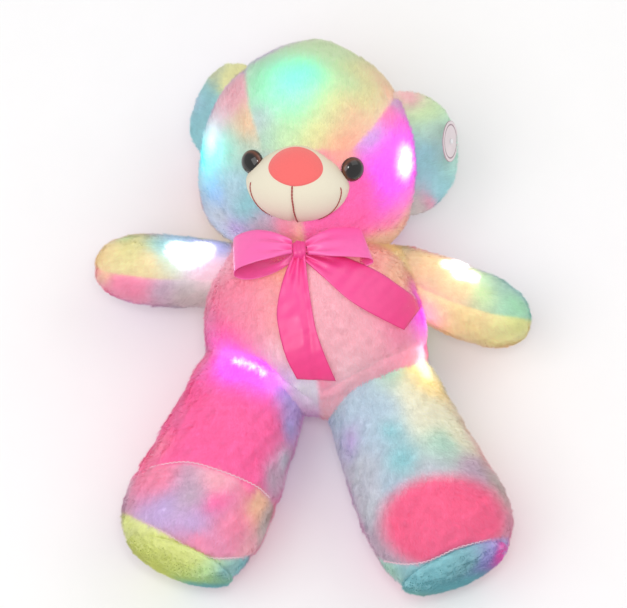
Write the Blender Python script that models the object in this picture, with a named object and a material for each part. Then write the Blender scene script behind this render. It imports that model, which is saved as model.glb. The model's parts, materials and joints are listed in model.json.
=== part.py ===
"""A plush bear night light that lies on its back, with lamps on wires inside its stuffing.

Units are metres. +Z is up, the head points along +Y and the feet along -Y. The bear lies with
its belly up, its centre line a little to the right of the frame's, and the floor at Z = 0.
"""

import math

import bmesh
import bpy
from mathutils import Matrix, Vector
from mathutils.bvhtree import BVHTree

X_AXIS, Y_AXIS, Z_AXIS = Vector((1, 0, 0)), Vector((0, 1, 0)), Vector((0, 0, 1))
FULL_TURN = 2 * math.pi
QUARTER_TURN = math.pi / 2
ALL_ROUND = Vector((1, 1, 1))
SIDES = {"left": -1, "right": 1}

# Fits that the whole toy shares
seat_gap = 0.0003
swing_gap = 0.0007
socket_gap = 0.0011
head_swing_gap = 0.0012
overrun = 0.004
weld_distance = 0.00001

# The trunk: a pear of fabric and stuffing, blunt at the seat and narrow at the neck
body_centre_x = 0.004
torso_length = 0.155
torso_half_width = 0.098
torso_half_depth = 0.073
seat_below_hips = 0.0355
torso_station_shares = (
    (0.0, 0.0, 0.0, 0.88),
    (0.03, 0.42, 0.48, 0.90),
    (0.09, 0.68, 0.74, 0.93),
    (0.18, 0.86, 0.89, 0.95),
    (0.31, 0.97, 0.97, 0.96),
    (0.45, 1.0, 1.0, 0.96),
    (0.60, 0.97, 0.985, 0.96),
    (0.73, 0.89, 0.91, 0.97),
    (0.84, 0.76, 0.78, 0.99),
    (0.93, 0.56, 0.58, 1.02),
    (0.98, 0.32, 0.34, 1.03),
    (1.0, 0.0, 0.0, 1.04),
)

# The head: broad at the cheeks, coming to the seam peak on top
head_centre_x = -0.003
head_half_width = 0.094
head_half_depth = 0.087
head_rise = 0.0995
head_drop = 0.092
head_above_hips = 0.191
head_centre_height = 0.0865
head_flex = math.radians(22)
head_turn = math.radians(-4.5)
head_roll = math.radians(-4)
head_station_shares = (
    (-1.0, 0.0, 0.0),
    (-0.975, 0.28, 0.30),
    (-0.93, 0.52, 0.54),
    (-0.86, 0.72, 0.72),
    (-0.755, 0.86, 0.85),
    (-0.60, 0.95, 0.93),
    (-0.38, 0.995, 0.98),
    (-0.12, 1.0, 1.0),
    (0.14, 0.975, 0.99),
    (0.38, 0.89, 0.94),
    (0.57, 0.765, 0.83),
    (0.72, 0.62, 0.70),
    (0.83, 0.455, 0.53),
    (0.91, 0.29, 0.35),
    (0.965, 0.15, 0.19),
    (1.0, 0.0, 0.0),
)
neck_ball_radius = 0.040
neck_below_head = 0.077

# Arms and legs: each has a round inner end that turns in a round hollow of the trunk
arm_length = 0.121
arm_radius = 0.030
shoulder_ball_radius = 0.026
shoulder_half_span = 0.072
shoulder_above_hips = 0.087
shoulder_height = 0.058
arm_tilt = {"left": math.radians(4), "right": math.radians(-23.5)}
arm_drop_limit = math.radians(-8)
arm_raise_limit = math.radians(45)
arm_station_shares = (
    (0.13, 0.90, 0.90),
    (0.33, 0.97, 0.96),
    (0.56, 1.0, 1.0),
    (0.76, 0.97, 0.97),
    (0.88, 0.82, 0.82),
    (0.95, 0.58, 0.58),
    (0.985, 0.32, 0.32),
    (1.0, 0.0, 0.0),
)

leg_length = 0.190
foot_half_width = 0.061
foot_half_depth = 0.0575
sole_half_width = 0.0415
sole_half_height = 0.0405
sole_thickness = 0.0018
hip_ball_radius = 0.0475
hip_half_span = 0.050
hip_height = 0.0495
pelvis_slant = 0.0035
leg_splay = math.radians(21.5)
leg_back_limit = math.radians(-10)
leg_raise_limit = math.radians(40)
leg_wedge_share = 0.6
leg_station_shares = (
    (0.11, 0.79, 0.84, 0.0),
    (0.28, 0.85, 0.885, 0.0),
    (0.42, 0.90, 0.885, 0.0),
    (0.51, 0.94, 0.89, 0.01),
    (0.60, 0.98, 0.96, 0.08),
    (0.72, 1.0, 1.0, 0.13),
    (0.85, 0.96, 0.985, 0.13),
    (0.94, 0.87, 0.90, 0.11),
    (0.985, 0.78, 0.81, 0.10),
    (1.0, 0.74, 0.77, 0.10),
)

# Derived places. The frame's origin is the middle of the toy's footprint
head_matrix = (
    Matrix.Rotation(head_flex, 4, "X")
    @ Matrix.Rotation(head_turn, 4, "Y")
    @ Matrix.Rotation(head_roll, 4, "Z")
)
up_of_head = head_matrix.to_3x3() @ Y_AXIS
sole_reach = leg_length + seat_gap + sole_thickness
leg_reach = sole_reach * math.cos(leg_splay) + foot_half_width * math.sin(leg_splay) / 2
length_above_hips = head_above_hips + head_rise * up_of_head.y
hips_y = (leg_reach + pelvis_slant - length_above_hips) / 2
head_centre = Vector((head_centre_x, hips_y + head_above_hips, head_centre_height))
neck_centre = head_centre - neck_below_head * up_of_head
seat_y = hips_y - seat_below_hips


# How finely round forms are drawn
form_sides = 26
sweep_sides = 40
muzzle_sides = 20
limb_sides = 18
ball_steps = 5
wedge_steps = 8


# Objects, materials and joins

for leftover in list(bpy.data.objects):
    bpy.data.objects.remove(leftover)

toy = bpy.data.collections.new("plush_night_light")
cutters = bpy.data.collections.new("cutters")
for group in (toy, cutters):
    bpy.context.scene.collection.children.link(group)
cutters.hide_render = True


def make_material(name, colour, roughness, metallic=0.0):
    material = bpy.data.materials.new(name)
    material.use_nodes = True
    shader = material.node_tree.nodes["Principled BSDF"]
    shader.inputs["Base Color"].default_value = (*colour, 1)
    shader.inputs["Roughness"].default_value = roughness
    shader.inputs["Metallic"].default_value = metallic
    return material


rose_plush = make_material("rose_plush", (0.93, 0.33, 0.52), 0.95)
peach_plush = make_material("peach_plush", (0.95, 0.62, 0.52), 0.95)
mint_plush = make_material("mint_plush", (0.55, 0.85, 0.74), 0.95)
sky_plush = make_material("sky_plush", (0.52, 0.74, 0.88), 0.95)
lemon_plush = make_material("lemon_plush", (0.92, 0.90, 0.55), 0.95)
cream_velboa = make_material("cream_velboa", (0.90, 0.84, 0.72), 0.85)
coral_felt = make_material("coral_felt", (0.90, 0.20, 0.20), 0.8)
thread_brown = make_material("thread_brown", (0.45, 0.13, 0.10), 0.7)
eye_plastic = make_material("eye_plastic", (0.045, 0.022, 0.018), 0.12)
washer_plastic = make_material("washer_plastic", (0.80, 0.80, 0.78), 0.45)
satin_ribbon = make_material("satin_ribbon", (0.94, 0.16, 0.44), 0.35)
tag_card = make_material("tag_card", (0.80, 0.80, 0.82), 0.5)
zip_fabric = make_material("zip_fabric", (0.85, 0.84, 0.82), 0.8)
zip_metal = make_material("zip_metal", (0.72, 0.72, 0.74), 0.3, 1.0)
case_plastic = make_material("case_plastic", (0.86, 0.86, 0.84), 0.4)
cell_sleeve = make_material("cell_sleeve", (0.10, 0.22, 0.30), 0.35)
spring_steel = make_material("spring_steel", (0.70, 0.70, 0.70), 0.3, 1.0)
board_green = make_material("board_green", (0.05, 0.26, 0.12), 0.5)
button_red = make_material("button_red", (0.65, 0.06, 0.06), 0.45)
lamp_resin = make_material("lamp_resin", (0.88, 0.90, 0.92), 0.15)
wire_sleeve = make_material("wire_sleeve", (0.75, 0.10, 0.10), 0.5)


def add_mesh(name, bm, material=None, parent=None, helper=False):
    """Puts a bmesh in the scene as a named object, as a part of the toy or as a cutter."""
    bmesh.ops.recalc_face_normals(bm, faces=bm.faces)
    mesh = bpy.data.meshes.new(name)
    bm.to_mesh(mesh)
    bm.free()
    if mesh.polygons and material:
        mesh.materials.append(material)
    mesh.shade_smooth()
    mesh.set_sharp_from_angle(angle=math.radians(40))
    obj = bpy.data.objects.new(name, mesh)
    (cutters if helper else toy).objects.link(obj)
    obj.parent = parent
    if helper:
        obj.hide_render = True
        obj.display_type = "WIRE"
    return obj


def add_frame(name, location, rotation=None, parent=None):
    """An empty that carries pieces. Its origin is a joint's centre or a piece's own centre."""
    frame = bpy.data.objects.new(name, None)
    toy.objects.link(frame)
    frame.parent = parent
    frame.matrix_basis = Matrix.Translation(location) @ (rotation or Matrix.Identity(4))
    return frame


def combine(target, other, operation):
    boolean = target.modifiers.new(f"{operation.lower()}_{other.name}", "BOOLEAN")
    boolean.operation = operation
    boolean.object = other
    boolean.solver = "EXACT"


def cut(target, *tools):
    for tool in tools:
        combine(target, tool, "DIFFERENCE")


def smooth_rows(rows, steps):
    """Rows of numbers on a smooth curve through the given rows, with this many steps between two."""
    padded = [rows[0], *rows, rows[-1]]
    found = []
    for before, start, end, after in zip(padded, padded[1:], padded[2:], padded[3:]):
        for step in range(steps):
            t = step / steps
            found.append(
                [
                    b + t * (c - a + t * (2 * a - 5 * b + 4 * c - d + t * (3 * b - a - 3 * c + d))) / 2
                    for a, b, c, d in zip(before, start, end, after)
                ]
            )
    return found + [list(rows[-1])]


def loft_along_y(rings, sides):
    """A closed form through rings of (along, half width, half depth, lift), pointed at both ends."""
    bm = bmesh.new()
    loops = []
    for along, half_width, half_depth, lift in rings:
        if half_width <= 0:
            loops.append([bm.verts.new((0, along, lift))])
            continue
        loops.append(
            [
                bm.verts.new(
                    (
                        half_width * math.cos(FULL_TURN * n / sides),
                        along,
                        lift + half_depth * math.sin(FULL_TURN * n / sides),
                    )
                )
                for n in range(sides)
            ]
        )
    for first, second in zip(loops, loops[1:]):
        for n in range(sides):
            m = (n + 1) % sides
            corners = [first[n % len(first)], first[m % len(first)]]
            corners += [second[m % len(second)], second[n % len(second)]]
            bm.faces.new(list(dict.fromkeys(corners)))
    for end in (loops[0], loops[-1]):
        if len(end) > 2:
            bm.faces.new(end)
    return bm


def grown(rings, more):
    """The same rings with this much more room all round."""
    found = []
    for along, half_width, half_depth, lift in rings:
        if half_width <= 0:
            outward = more if along > 0 else -more
            found.append([along + outward, 0, 0, lift])
        else:
            found.append([along, half_width + more, half_depth + more, lift])
    return found


def beyond_joint(rings):
    """The rings from the joint outwards."""
    return [ring for ring in rings if ring[0] >= 0]


def ball(name, radius, parent=None, location=(0, 0, 0), segments=24):
    bm = bmesh.new()
    bmesh.ops.create_uvsphere(bm, u_segments=segments, v_segments=segments // 2, radius=radius)
    bmesh.ops.translate(bm, vec=location, verts=bm.verts)
    return add_mesh(name, bm, parent=parent, helper=True)


def box_mesh(low, high, edge=0.0, segments=2):
    """A box between two corners, its edges rounded when an edge radius is given."""
    bm = bmesh.new()
    bmesh.ops.create_cube(bm, size=1)
    low, high = Vector(low), Vector(high)
    bmesh.ops.scale(bm, vec=high - low, verts=bm.verts)
    bmesh.ops.translate(bm, vec=(low + high) / 2, verts=bm.verts)
    if edge:
        bmesh.ops.bevel(
            bm, geom=bm.edges, offset=edge, segments=segments, affect="EDGES", profile=0.5, material=-1
        )
    return bm


def cylinder_mesh(radius, start, end, sides=24, end_radius=None):
    """A round bar, or a cone when the two radii differ, from one point to another."""
    start, end = Vector(start), Vector(end)
    span = end - start
    aim = Z_AXIS.rotation_difference(span).to_matrix().to_4x4()
    bm = bmesh.new()
    bmesh.ops.create_cone(
        bm,
        cap_ends=True,
        segments=sides,
        radius1=radius,
        radius2=radius if end_radius is None else end_radius,
        depth=span.length,
        matrix=Matrix.Translation((start + end) / 2) @ aim,
    )
    return bm


def tube_object(name, points, radius, material=None, parent=None, helper=False, resolution=2, closed=False):
    """A tube along points, made a mesh with welded caps."""
    curve = bpy.data.curves.new(name, "CURVE")
    curve.dimensions = "3D"
    curve.bevel_depth = radius
    curve.bevel_resolution = resolution
    curve.use_fill_caps = True
    spline = curve.splines.new("POLY")
    spline.points.add(len(points) - 1)
    for point, place in zip(spline.points, points):
        point.co = (*place, 1)
    spline.use_cyclic_u = closed
    guide = bpy.data.objects.new(name, curve)
    cutters.objects.link(guide)
    mesh = bpy.data.meshes.new_from_object(guide.evaluated_get(bpy.context.evaluated_depsgraph_get()))
    bm = bmesh.new()
    bm.from_mesh(mesh)
    bmesh.ops.remove_doubles(bm, verts=bm.verts, dist=weld_distance)
    bpy.data.objects.remove(guide)
    return add_mesh(name, bm, material, parent, helper)


def evaluated_tree(obj):
    """The shaped surface of an object, in the world, for finding where another piece rests on it."""
    bpy.context.view_layer.update()
    graph = bpy.context.evaluated_depsgraph_get()
    mesh = obj.evaluated_get(graph).to_mesh()
    corners = [obj.matrix_world @ vertex.co for vertex in mesh.vertices]
    return BVHTree.FromPolygons(corners, [list(face.vertices) for face in mesh.polygons])


# The trunk

torso_rings = [
    [
        along * torso_length,
        width * torso_half_width,
        depth * torso_half_depth,
        lift * torso_half_depth,
    ]
    for along, width, depth, lift in torso_station_shares
]
torso_frame = add_frame("torso_frame", (body_centre_x, seat_y, 0))
torso_body = add_mesh("torso_body", loft_along_y(torso_rings, form_sides), rose_plush, torso_frame)

floor_size = 1.0
floor_slab = add_mesh(
    "floor_slab",
    box_mesh((-floor_size, -floor_size, -floor_size), (floor_size, floor_size, 0)),
    helper=True,
)

# The head, in its own frame: X to its left cheek, Y up through the peak, Z out of the face

head_frame = add_frame("head_frame", head_centre, head_matrix)
head_rings = []
for along, width, depth in head_station_shares:
    reach = head_rise if along > 0 else head_drop
    head_rings.append([along * reach, width * head_half_width, depth * head_half_depth, 0])
head = add_mesh("head", loft_along_y(head_rings, form_sides), mint_plush, head_frame)

head_room_mesh = loft_along_y(grown(head_rings, seat_gap), form_sides)
head_room = add_mesh("head_room", head_room_mesh, parent=head_frame, helper=True)
sweep_rings = [[along, width, width, 0] for along, width, depth, lift in grown(head_rings, head_swing_gap)]
head_sweep = add_mesh("head_sweep", loft_along_y(sweep_rings, sweep_sides), parent=head_frame, helper=True)
neck_plug = ball("neck_plug", neck_ball_radius, location=neck_centre)
neck_hollow = ball("neck_hollow", neck_ball_radius + swing_gap, location=neck_centre)

cut(torso_body, head_sweep)
combine(torso_body, neck_plug, "UNION")
cut(head, neck_hollow)

# Arms


def limb_rings(ball_radius, length, half_width, half_depth, station_shares):
    """A ball about the joint, then the stations along the limb."""
    rings = []
    for n in range(ball_steps):
        angle = QUARTER_TURN * n / ball_steps
        radius = ball_radius * math.sin(angle)
        rings.append([-ball_radius * math.cos(angle), radius, radius, 0])
    rows = [[0, ball_radius, ball_radius, 0]]
    for station in station_shares:
        along, width, depth, *lift = station
        rows.append(
            [along * length, width * half_width, depth * half_depth, (lift or [0])[0] * half_depth]
        )
    return rings + rows


def swing_wedge(name, rings, reach, start_angle, end_angle, lean, parent):
    """The room that a limb sweeps, as the limb's inner outline spun about the joint axis, local X.

    The limb runs along local +Y and leans by an angle towards local -X, away from the trunk.
    """
    sine, cosine = math.sin(lean), math.cos(lean)
    outline = []
    for along, half_width, *_ in rings:
        if 0 <= along <= reach:
            outline.append((half_width * cosine - along * sine, half_width * sine + along * cosine))
    far = outline[-1][1]
    outline = [(outline[0][0], 0), *outline, (-reach, far), (-reach, 0)]
    bm = bmesh.new()
    corners = [bm.verts.new((x, y * math.cos(start_angle), y * math.sin(start_angle))) for x, y in outline]
    edges = [bm.edges.new((a, b)) for a, b in zip(corners, corners[1:] + corners[:1])]
    bmesh.ops.spin(
        bm,
        geom=edges,
        cent=(0, 0, 0),
        axis=X_AXIS,
        angle=end_angle - start_angle,
        steps=wedge_steps,
    )
    bmesh.ops.remove_doubles(bm, verts=bm.verts, dist=weld_distance)
    bmesh.ops.dissolve_degenerate(bm, dist=weld_distance, edges=bm.edges)
    bmesh.ops.holes_fill(bm, edges=bm.edges, sides=0)
    return add_mesh(name, bm, parent=parent, helper=True)


arms = {}
arm_frames = {}
for side, sign in SIDES.items():
    shoulder_x = body_centre_x + sign * shoulder_half_span
    shoulder = Vector((shoulder_x, hips_y + shoulder_above_hips, shoulder_height))
    # The arm runs along the frame's +Y, which the turn about Z lays out to the side
    turn = QUARTER_TURN - arm_tilt[side] if sign < 0 else arm_tilt[side] - QUARTER_TURN
    frame = add_frame(f"arm_{side}_frame", shoulder, Matrix.Rotation(turn, 4, "Z"))
    rings = limb_rings(shoulder_ball_radius, arm_length, arm_radius, arm_radius, arm_station_shares)
    arms[side] = add_mesh(f"arm_{side}", loft_along_y(rings, limb_sides), lemon_plush, frame)
    arm_frames[side] = frame
    roomy = beyond_joint(grown(rings, swing_gap))
    socket = ball(f"shoulder_hollow_{side}", shoulder_ball_radius + socket_gap, location=shoulder)
    cut(torso_body, socket)
    for label, angle in (("low", arm_drop_limit), ("high", arm_raise_limit)):
        # Raising the arm turns it about the trunk's own Y axis
        swing = Matrix.Translation(shoulder) @ Matrix.Rotation(-sign * angle, 4, "Y")
        limit_frame = add_frame(f"arm_{side}_{label}", (0, 0, 0))
        limit_frame.matrix_basis = swing @ Matrix.Rotation(turn, 4, "Z")
        arm_room = loft_along_y(roomy, limb_sides)
        cut(torso_body, add_mesh(f"arm_room_{side}_{label}", arm_room, parent=limit_frame, helper=True))
    wedge_frame = add_frame(f"arm_{side}_wedge", (0, 0, 0))
    # The wedge's X lies along the joint axis, and its Y points out to the side
    out = Vector((sign, 0, 0))
    along_axis = -Y_AXIS if arm_tilt[side] > 0 else Y_AXIS
    up = along_axis.cross(out)
    wedge_lay = Matrix((along_axis, out, up)).transposed().to_4x4()
    wedge_frame.matrix_basis = Matrix.Translation(shoulder) @ wedge_lay
    raise_sign = 1 if up.z > 0 else -1
    cut(
        torso_body,
        swing_wedge(
            f"arm_sweep_{side}",
            roomy,
            arm_length,
            raise_sign * arm_drop_limit,
            raise_sign * arm_raise_limit,
            abs(arm_tilt[side]),
            wedge_frame,
        ),
    )

# Legs

legs = {}
leg_frames = {}
leg_rings = limb_rings(hip_ball_radius, leg_length, foot_half_width, foot_half_depth, leg_station_shares)
for side, sign in SIDES.items():
    hip = Vector((body_centre_x + sign * hip_half_span, hips_y - sign * pelvis_slant, hip_height))
    # The leg runs along the frame's +Y, which the turn about Z points at the feet
    aim = Matrix.Rotation(math.pi + sign * leg_splay, 4, "Z")
    frame = add_frame(f"leg_{side}_frame", hip, aim)
    leg_plush = sky_plush if sign > 0 else rose_plush
    legs[side] = add_mesh(f"leg_{side}", loft_along_y(leg_rings, limb_sides), leg_plush, frame)
    leg_frames[side] = frame
    cut(legs[side], floor_slab)
    roomy = beyond_joint(grown(leg_rings, swing_gap))
    cut(torso_body, ball(f"hip_hollow_{side}", hip_ball_radius + socket_gap, location=hip))
    for label, angle in (("back", leg_back_limit), ("high", leg_raise_limit)):
        limit_frame = add_frame(f"leg_{side}_{label}", (0, 0, 0))
        limit_frame.matrix_basis = Matrix.Translation(hip) @ Matrix.Rotation(-angle, 4, "X") @ aim
        leg_room = loft_along_y(roomy, limb_sides)
        cut(torso_body, add_mesh(f"leg_room_{side}_{label}", leg_room, parent=limit_frame, helper=True))
    inward = Vector((-sign, 0, 0))
    up = inward.cross(-Y_AXIS)
    wedge_frame = add_frame(f"leg_{side}_wedge", (0, 0, 0))
    wedge_frame.matrix_basis = Matrix.Translation(hip) @ Matrix((inward, -Y_AXIS, up)).transposed().to_4x4()
    raise_sign = 1 if up.z > 0 else -1
    cut(
        torso_body,
        swing_wedge(
            f"leg_sweep_{side}",
            roomy,
            leg_length * leg_wedge_share,
            raise_sign * leg_back_limit,
            raise_sign * leg_raise_limit,
            leg_splay,
            wedge_frame,
        ),
    )

cut(torso_body, floor_slab)
cut(head, floor_slab)

# The face: muzzle, nose, stitched mouth and eyes, each placed by its direction from the head's centre

muzzle_rise = math.radians(-17)
muzzle_turn = math.radians(-1.5)
muzzle_half_width = 0.045
muzzle_half_height = 0.0345
muzzle_half_depth = 0.034
muzzle_seat = 0.078
nose_rise = math.radians(-5.5)
nose_width = 0.046
nose_height = 0.030
nose_thickness = 0.0018
nose_outline_shares = (
    (0.0, 0.5), (0.30, 0.44), (0.48, 0.20), (0.46, -0.08), (0.26, -0.36),
    (0.0, -0.5), (-0.26, -0.36), (-0.46, -0.08), (-0.48, 0.20), (-0.30, 0.44),
)
stitch_radius = 0.0007
smile_shares = ((0.90, 0.02), (0.865, -0.28), (0.74, -0.56), (0.60, -0.72), (0.44, -0.84))
lip_line_shares = ((0.0, 0.02), (0.0, -0.3), (0.0, -0.6), (0.0, -0.93))
eye_turn = math.radians(29.5)
eye_rise = math.radians(-4.5)
eye_radius = 0.010
eye_dome = 0.0072
eye_flange = 0.0012
eye_shank_radius = 0.0022
eye_shank_length = 0.016
washer_radius = 0.0085
washer_thickness = 0.0014
washer_depth = 0.009


def aimed_frame(name, turn, rise, distance, parent):
    """A frame at a distance from the parent's centre, its Z pointing away from it in that direction."""
    aim = Matrix.Rotation(turn, 4, "Y") @ Matrix.Rotation(-rise, 4, "X")
    frame = bpy.data.objects.new(name, None)
    toy.objects.link(frame)
    frame.parent = parent
    frame.matrix_basis = aim @ Matrix.Translation((0, 0, distance))
    return frame


def surface_distance(tree, parent, turn, rise):
    """How far the head's surface lies from its centre in a direction."""
    aim = parent.matrix_world @ Matrix.Rotation(turn, 4, "Y") @ Matrix.Rotation(-rise, 4, "X")
    centre = aim.translation
    outward = aim.to_3x3() @ Z_AXIS
    far = centre + outward * 2 * head_half_width
    hit = tree.ray_cast(far, -outward)[0]
    return (hit - centre).length


def prism_along_z(outline, low, high):
    """A flat outline given thickness along Z."""
    bm = bmesh.new()
    face = bm.faces.new([bm.verts.new((x, y, low)) for x, y in outline])
    grown_part = bmesh.ops.extrude_face_region(bm, geom=[face])["geom"]
    moved = [item for item in grown_part if isinstance(item, bmesh.types.BMVert)]
    bmesh.ops.translate(bm, vec=(0, 0, high - low), verts=moved)
    return bm


def egg(name, half_sizes, material=None, parent=None, helper=False):
    bm = bmesh.new()
    bmesh.ops.create_uvsphere(bm, u_segments=muzzle_sides, v_segments=muzzle_sides // 2, radius=1)
    bmesh.ops.scale(bm, vec=half_sizes, verts=bm.verts)
    return add_mesh(name, bm, material, parent, helper)


def turned(name, rows, material=None, parent=None, helper=False, sides=16):
    """A round piece about local Z, its profile given as rows of (height, radius)."""
    bm = bmesh.new()
    outline = [(rows[0][0], 0), *rows, (rows[-1][0], 0)]
    corners = [bm.verts.new((radius, 0, height)) for height, radius in outline]
    edges = [bm.edges.new(pair) for pair in zip(corners, corners[1:])]
    bmesh.ops.spin(bm, geom=edges, cent=(0, 0, 0), axis=Z_AXIS, angle=FULL_TURN, steps=sides, use_merge=True)
    bmesh.ops.remove_doubles(bm, verts=bm.verts, dist=weld_distance)
    bmesh.ops.dissolve_degenerate(bm, dist=weld_distance, edges=bm.edges)
    return add_mesh(name, bm, material, parent, helper)


def dome_rows(radius, height, base, steps=4):
    rows = []
    for n in range(steps + 1):
        angle = QUARTER_TURN * n / steps
        rows.append((base + height * math.sin(angle), radius * math.cos(angle) if n < steps else 0))
    return rows


head_tree = evaluated_tree(head)
muzzle_frame = aimed_frame("muzzle_frame", muzzle_turn, muzzle_rise, muzzle_seat, head_frame)
muzzle_sizes = Vector((muzzle_half_width, muzzle_half_height, muzzle_half_depth))
muzzle = egg("muzzle", muzzle_sizes, cream_velboa, muzzle_frame)
cut(muzzle, head_room)

nose_frame = aimed_frame("nose_frame", muzzle_turn, nose_rise, muzzle_seat, head_frame)
nose = egg("nose", muzzle_sizes + (seat_gap + nose_thickness) * ALL_ROUND, coral_felt, muzzle_frame)
nose_outline = [
    (x * nose_width, y * nose_height)
    for x, y in smooth_rows([*nose_outline_shares, nose_outline_shares[0]], 3)[:-1]
]
nose_prism_mesh = prism_along_z(nose_outline, 0, 2 * muzzle_half_depth)
nose_prism = add_mesh("nose_prism", nose_prism_mesh, parent=nose_frame, helper=True)
combine(nose, nose_prism, "INTERSECT")
cut(nose, egg("nose_bed", muzzle_sizes + seat_gap * ALL_ROUND, parent=muzzle_frame, helper=True))
cut(nose, head_room)


def on_muzzle(x_share, y_share):
    """A stitch's centre, resting on the muzzle."""
    lift = seat_gap + stitch_radius
    front = math.sqrt(1 - x_share**2 - y_share**2)
    place = Vector((x_share * muzzle_half_width, y_share * muzzle_half_height, front * muzzle_half_depth))
    normal = Vector([p / size**2 for p, size in zip(place, muzzle_sizes)]).normalized()
    return place + lift * normal


stitches = {
    "mouth_stitch_centre": lip_line_shares,
    "mouth_stitch_left": [(-x, y) for x, y in smile_shares],
    "mouth_stitch_right": smile_shares,
}
for name, shares in stitches.items():
    route = [on_muzzle(x, y) for x, y in smooth_rows(shares, 3)]
    stitch = tube_object(name, route, stitch_radius, thread_brown, muzzle_frame, resolution=1)
    cut(stitch, head_room)

for side, sign in SIDES.items():
    turn = sign * eye_turn
    seat = surface_distance(head_tree, head_frame, turn, eye_rise)
    eye_frame = aimed_frame(f"eye_{side}_frame", turn, eye_rise, seat, head_frame)
    eye_rows = [
        (-eye_shank_length, eye_shank_radius),
        (-eye_flange, eye_shank_radius),
        (-eye_flange, eye_radius),
        *dome_rows(eye_radius, eye_dome, 0, 5),
    ]
    turned(f"eye_{side}", eye_rows, eye_plastic, eye_frame, sides=24)
    washer_back = -washer_depth - washer_thickness
    washer_rows = [(washer_back, washer_radius), (-washer_depth, washer_radius)]
    washer = turned(f"eye_washer_{side}", washer_rows, washer_plastic, eye_frame)
    bore = turned(
        f"washer_bore_{side}",
        [(washer_back - overrun, eye_shank_radius + seat_gap), (overrun, eye_shank_radius + seat_gap)],
        parent=eye_frame,
        helper=True,
    )
    cut(washer, bore)
    room_rows = [
        (-eye_shank_length - seat_gap, eye_shank_radius + seat_gap),
        (washer_back - seat_gap, eye_shank_radius + seat_gap),
        (washer_back - seat_gap, washer_radius + seat_gap),
        (-washer_depth + seat_gap, washer_radius + seat_gap),
        (-washer_depth + seat_gap, eye_shank_radius + 2 * seat_gap),
        (-eye_flange - seat_gap, eye_shank_radius + 2 * seat_gap),
        (-eye_flange - seat_gap, eye_radius + seat_gap),
        (eye_dome + overrun, eye_radius + seat_gap),
    ]
    eye_room = turned(f"eye_room_{side}", room_rows, parent=eye_frame, helper=True)
    cut(head, eye_room)
    cut(muzzle, eye_room)

# The ears: cupped cushions sewn to the sides of the head. The left one is folded further back

ear_half_height = {"left": 0.047, "right": 0.054}
ear_half_width = 0.048
ear_half_thickness = 0.0105
ear_cup = 0.008
ear_places = {"left": Vector((-0.066, 0.031, 0.004)), "right": Vector((0.080, 0.004, -0.006))}
ear_roll = {"left": math.radians(-22), "right": math.radians(4)}
ear_sweep = {"left": math.radians(-34), "right": math.radians(14)}

ears = {}
ear_frames = {}
for side, sign in SIDES.items():
    lay = Matrix.Rotation(ear_roll[side], 4, "Z") @ Matrix.Rotation(ear_sweep[side], 4, "Y")
    ear_frames[side] = add_frame(f"ear_{side}_frame", ear_places[side], lay, head_frame)
    bm = bmesh.new()
    bmesh.ops.create_uvsphere(bm, u_segments=24, v_segments=10, radius=1)
    bmesh.ops.scale(bm, vec=(ear_half_width, ear_half_height[side], ear_half_thickness), verts=bm.verts)
    for vertex in bm.verts:
        out = (vertex.co.x / ear_half_width) ** 2 + (vertex.co.y / ear_half_height[side]) ** 2
        vertex.co.z += ear_cup * out
    ears[side] = add_mesh(f"ear_{side}", bm, sky_plush, ear_frames[side])
    cut(ears[side], head_room)

# A blank round tag on a bent plastic pin, set in the right ear's rim

tag_radius = 0.018
tag_thickness = 0.001
tag_lean = math.radians(58)
tag_bore = 0.0012
pin_radius = 0.0006
pin_head_radius = 0.0022
pin_root = Vector((0.040, 0.012, 0.006))
pin_depth = 0.007
tag_stand = 0.016

tag_lay = Matrix.Translation(pin_root + tag_stand * Z_AXIS) @ Matrix.Rotation(tag_lean, 4, "Y")
tag_frame = add_frame("tag_frame", (0, 0, 0), tag_lay, ear_frames["right"])
tag_rows = [(-tag_thickness / 2, tag_radius), (tag_thickness / 2, tag_radius)]
ear_tag = turned("ear_tag", tag_rows, tag_card, tag_frame, sides=32)
tag_hole_rows = [(-overrun, tag_bore), (overrun, tag_bore)]
cut(ear_tag, turned("tag_hole", tag_hole_rows, parent=tag_frame, helper=True, sides=12))
behind_tag = tag_lay @ Vector((0, 0, -pin_depth))
in_front = tag_lay @ Vector((0, 0, tag_thickness / 2 + pin_radius))
pin_route = [
    pin_root - pin_depth * Z_AXIS,
    pin_root,
    pin_root + pin_depth * Z_AXIS,
    behind_tag.lerp(pin_root + tag_stand * Z_AXIS, 1 / 3),
    in_front,
]
tag_ear = ear_frames["right"]
ear_tag_pin = tube_object("ear_tag_pin", pin_route, pin_radius, washer_plastic, tag_ear, resolution=1)
pin_head_rows = [
    (tag_thickness / 2 + seat_gap, pin_head_radius),
    (tag_thickness / 2 + seat_gap + 2 * pin_radius, pin_head_radius),
]
pin_head = turned("pin_head", pin_head_rows, parent=tag_frame, helper=True, sides=12)
combine(ear_tag_pin, pin_head, "UNION")
pin_bore_rows = [
    (-pin_depth - seat_gap, pin_radius + seat_gap),
    (ear_half_thickness + overrun, pin_radius + seat_gap),
]
pin_bore_frame = add_frame("pin_bore_frame", pin_root, parent=ear_frames["right"])
cut(ears["right"], turned("pin_bore", pin_bore_rows, parent=pin_bore_frame, helper=True, sides=8))

# Soles: oval panels sewn over the flat ends of the feet

for side in SIDES:
    along, half_width, half_depth, lift = leg_rings[-1]
    bm = bmesh.new()
    start, end = along + seat_gap, along + seat_gap + sole_thickness
    bmesh.ops.create_cone(
        bm, cap_ends=True, segments=limb_sides + 8, radius1=1, radius2=1, depth=end - start,
        matrix=Matrix.Translation((0, (start + end) / 2, 0)) @ Matrix.Rotation(QUARTER_TURN, 4, "X"),
    )
    bmesh.ops.scale(bm, vec=(sole_half_width, 1, sole_half_height), verts=bm.verts)
    bmesh.ops.translate(bm, vec=(0, 0, lift), verts=bm.verts)
    add_mesh(f"sole_{side}", bm, mint_plush, leg_frames[side])

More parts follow.
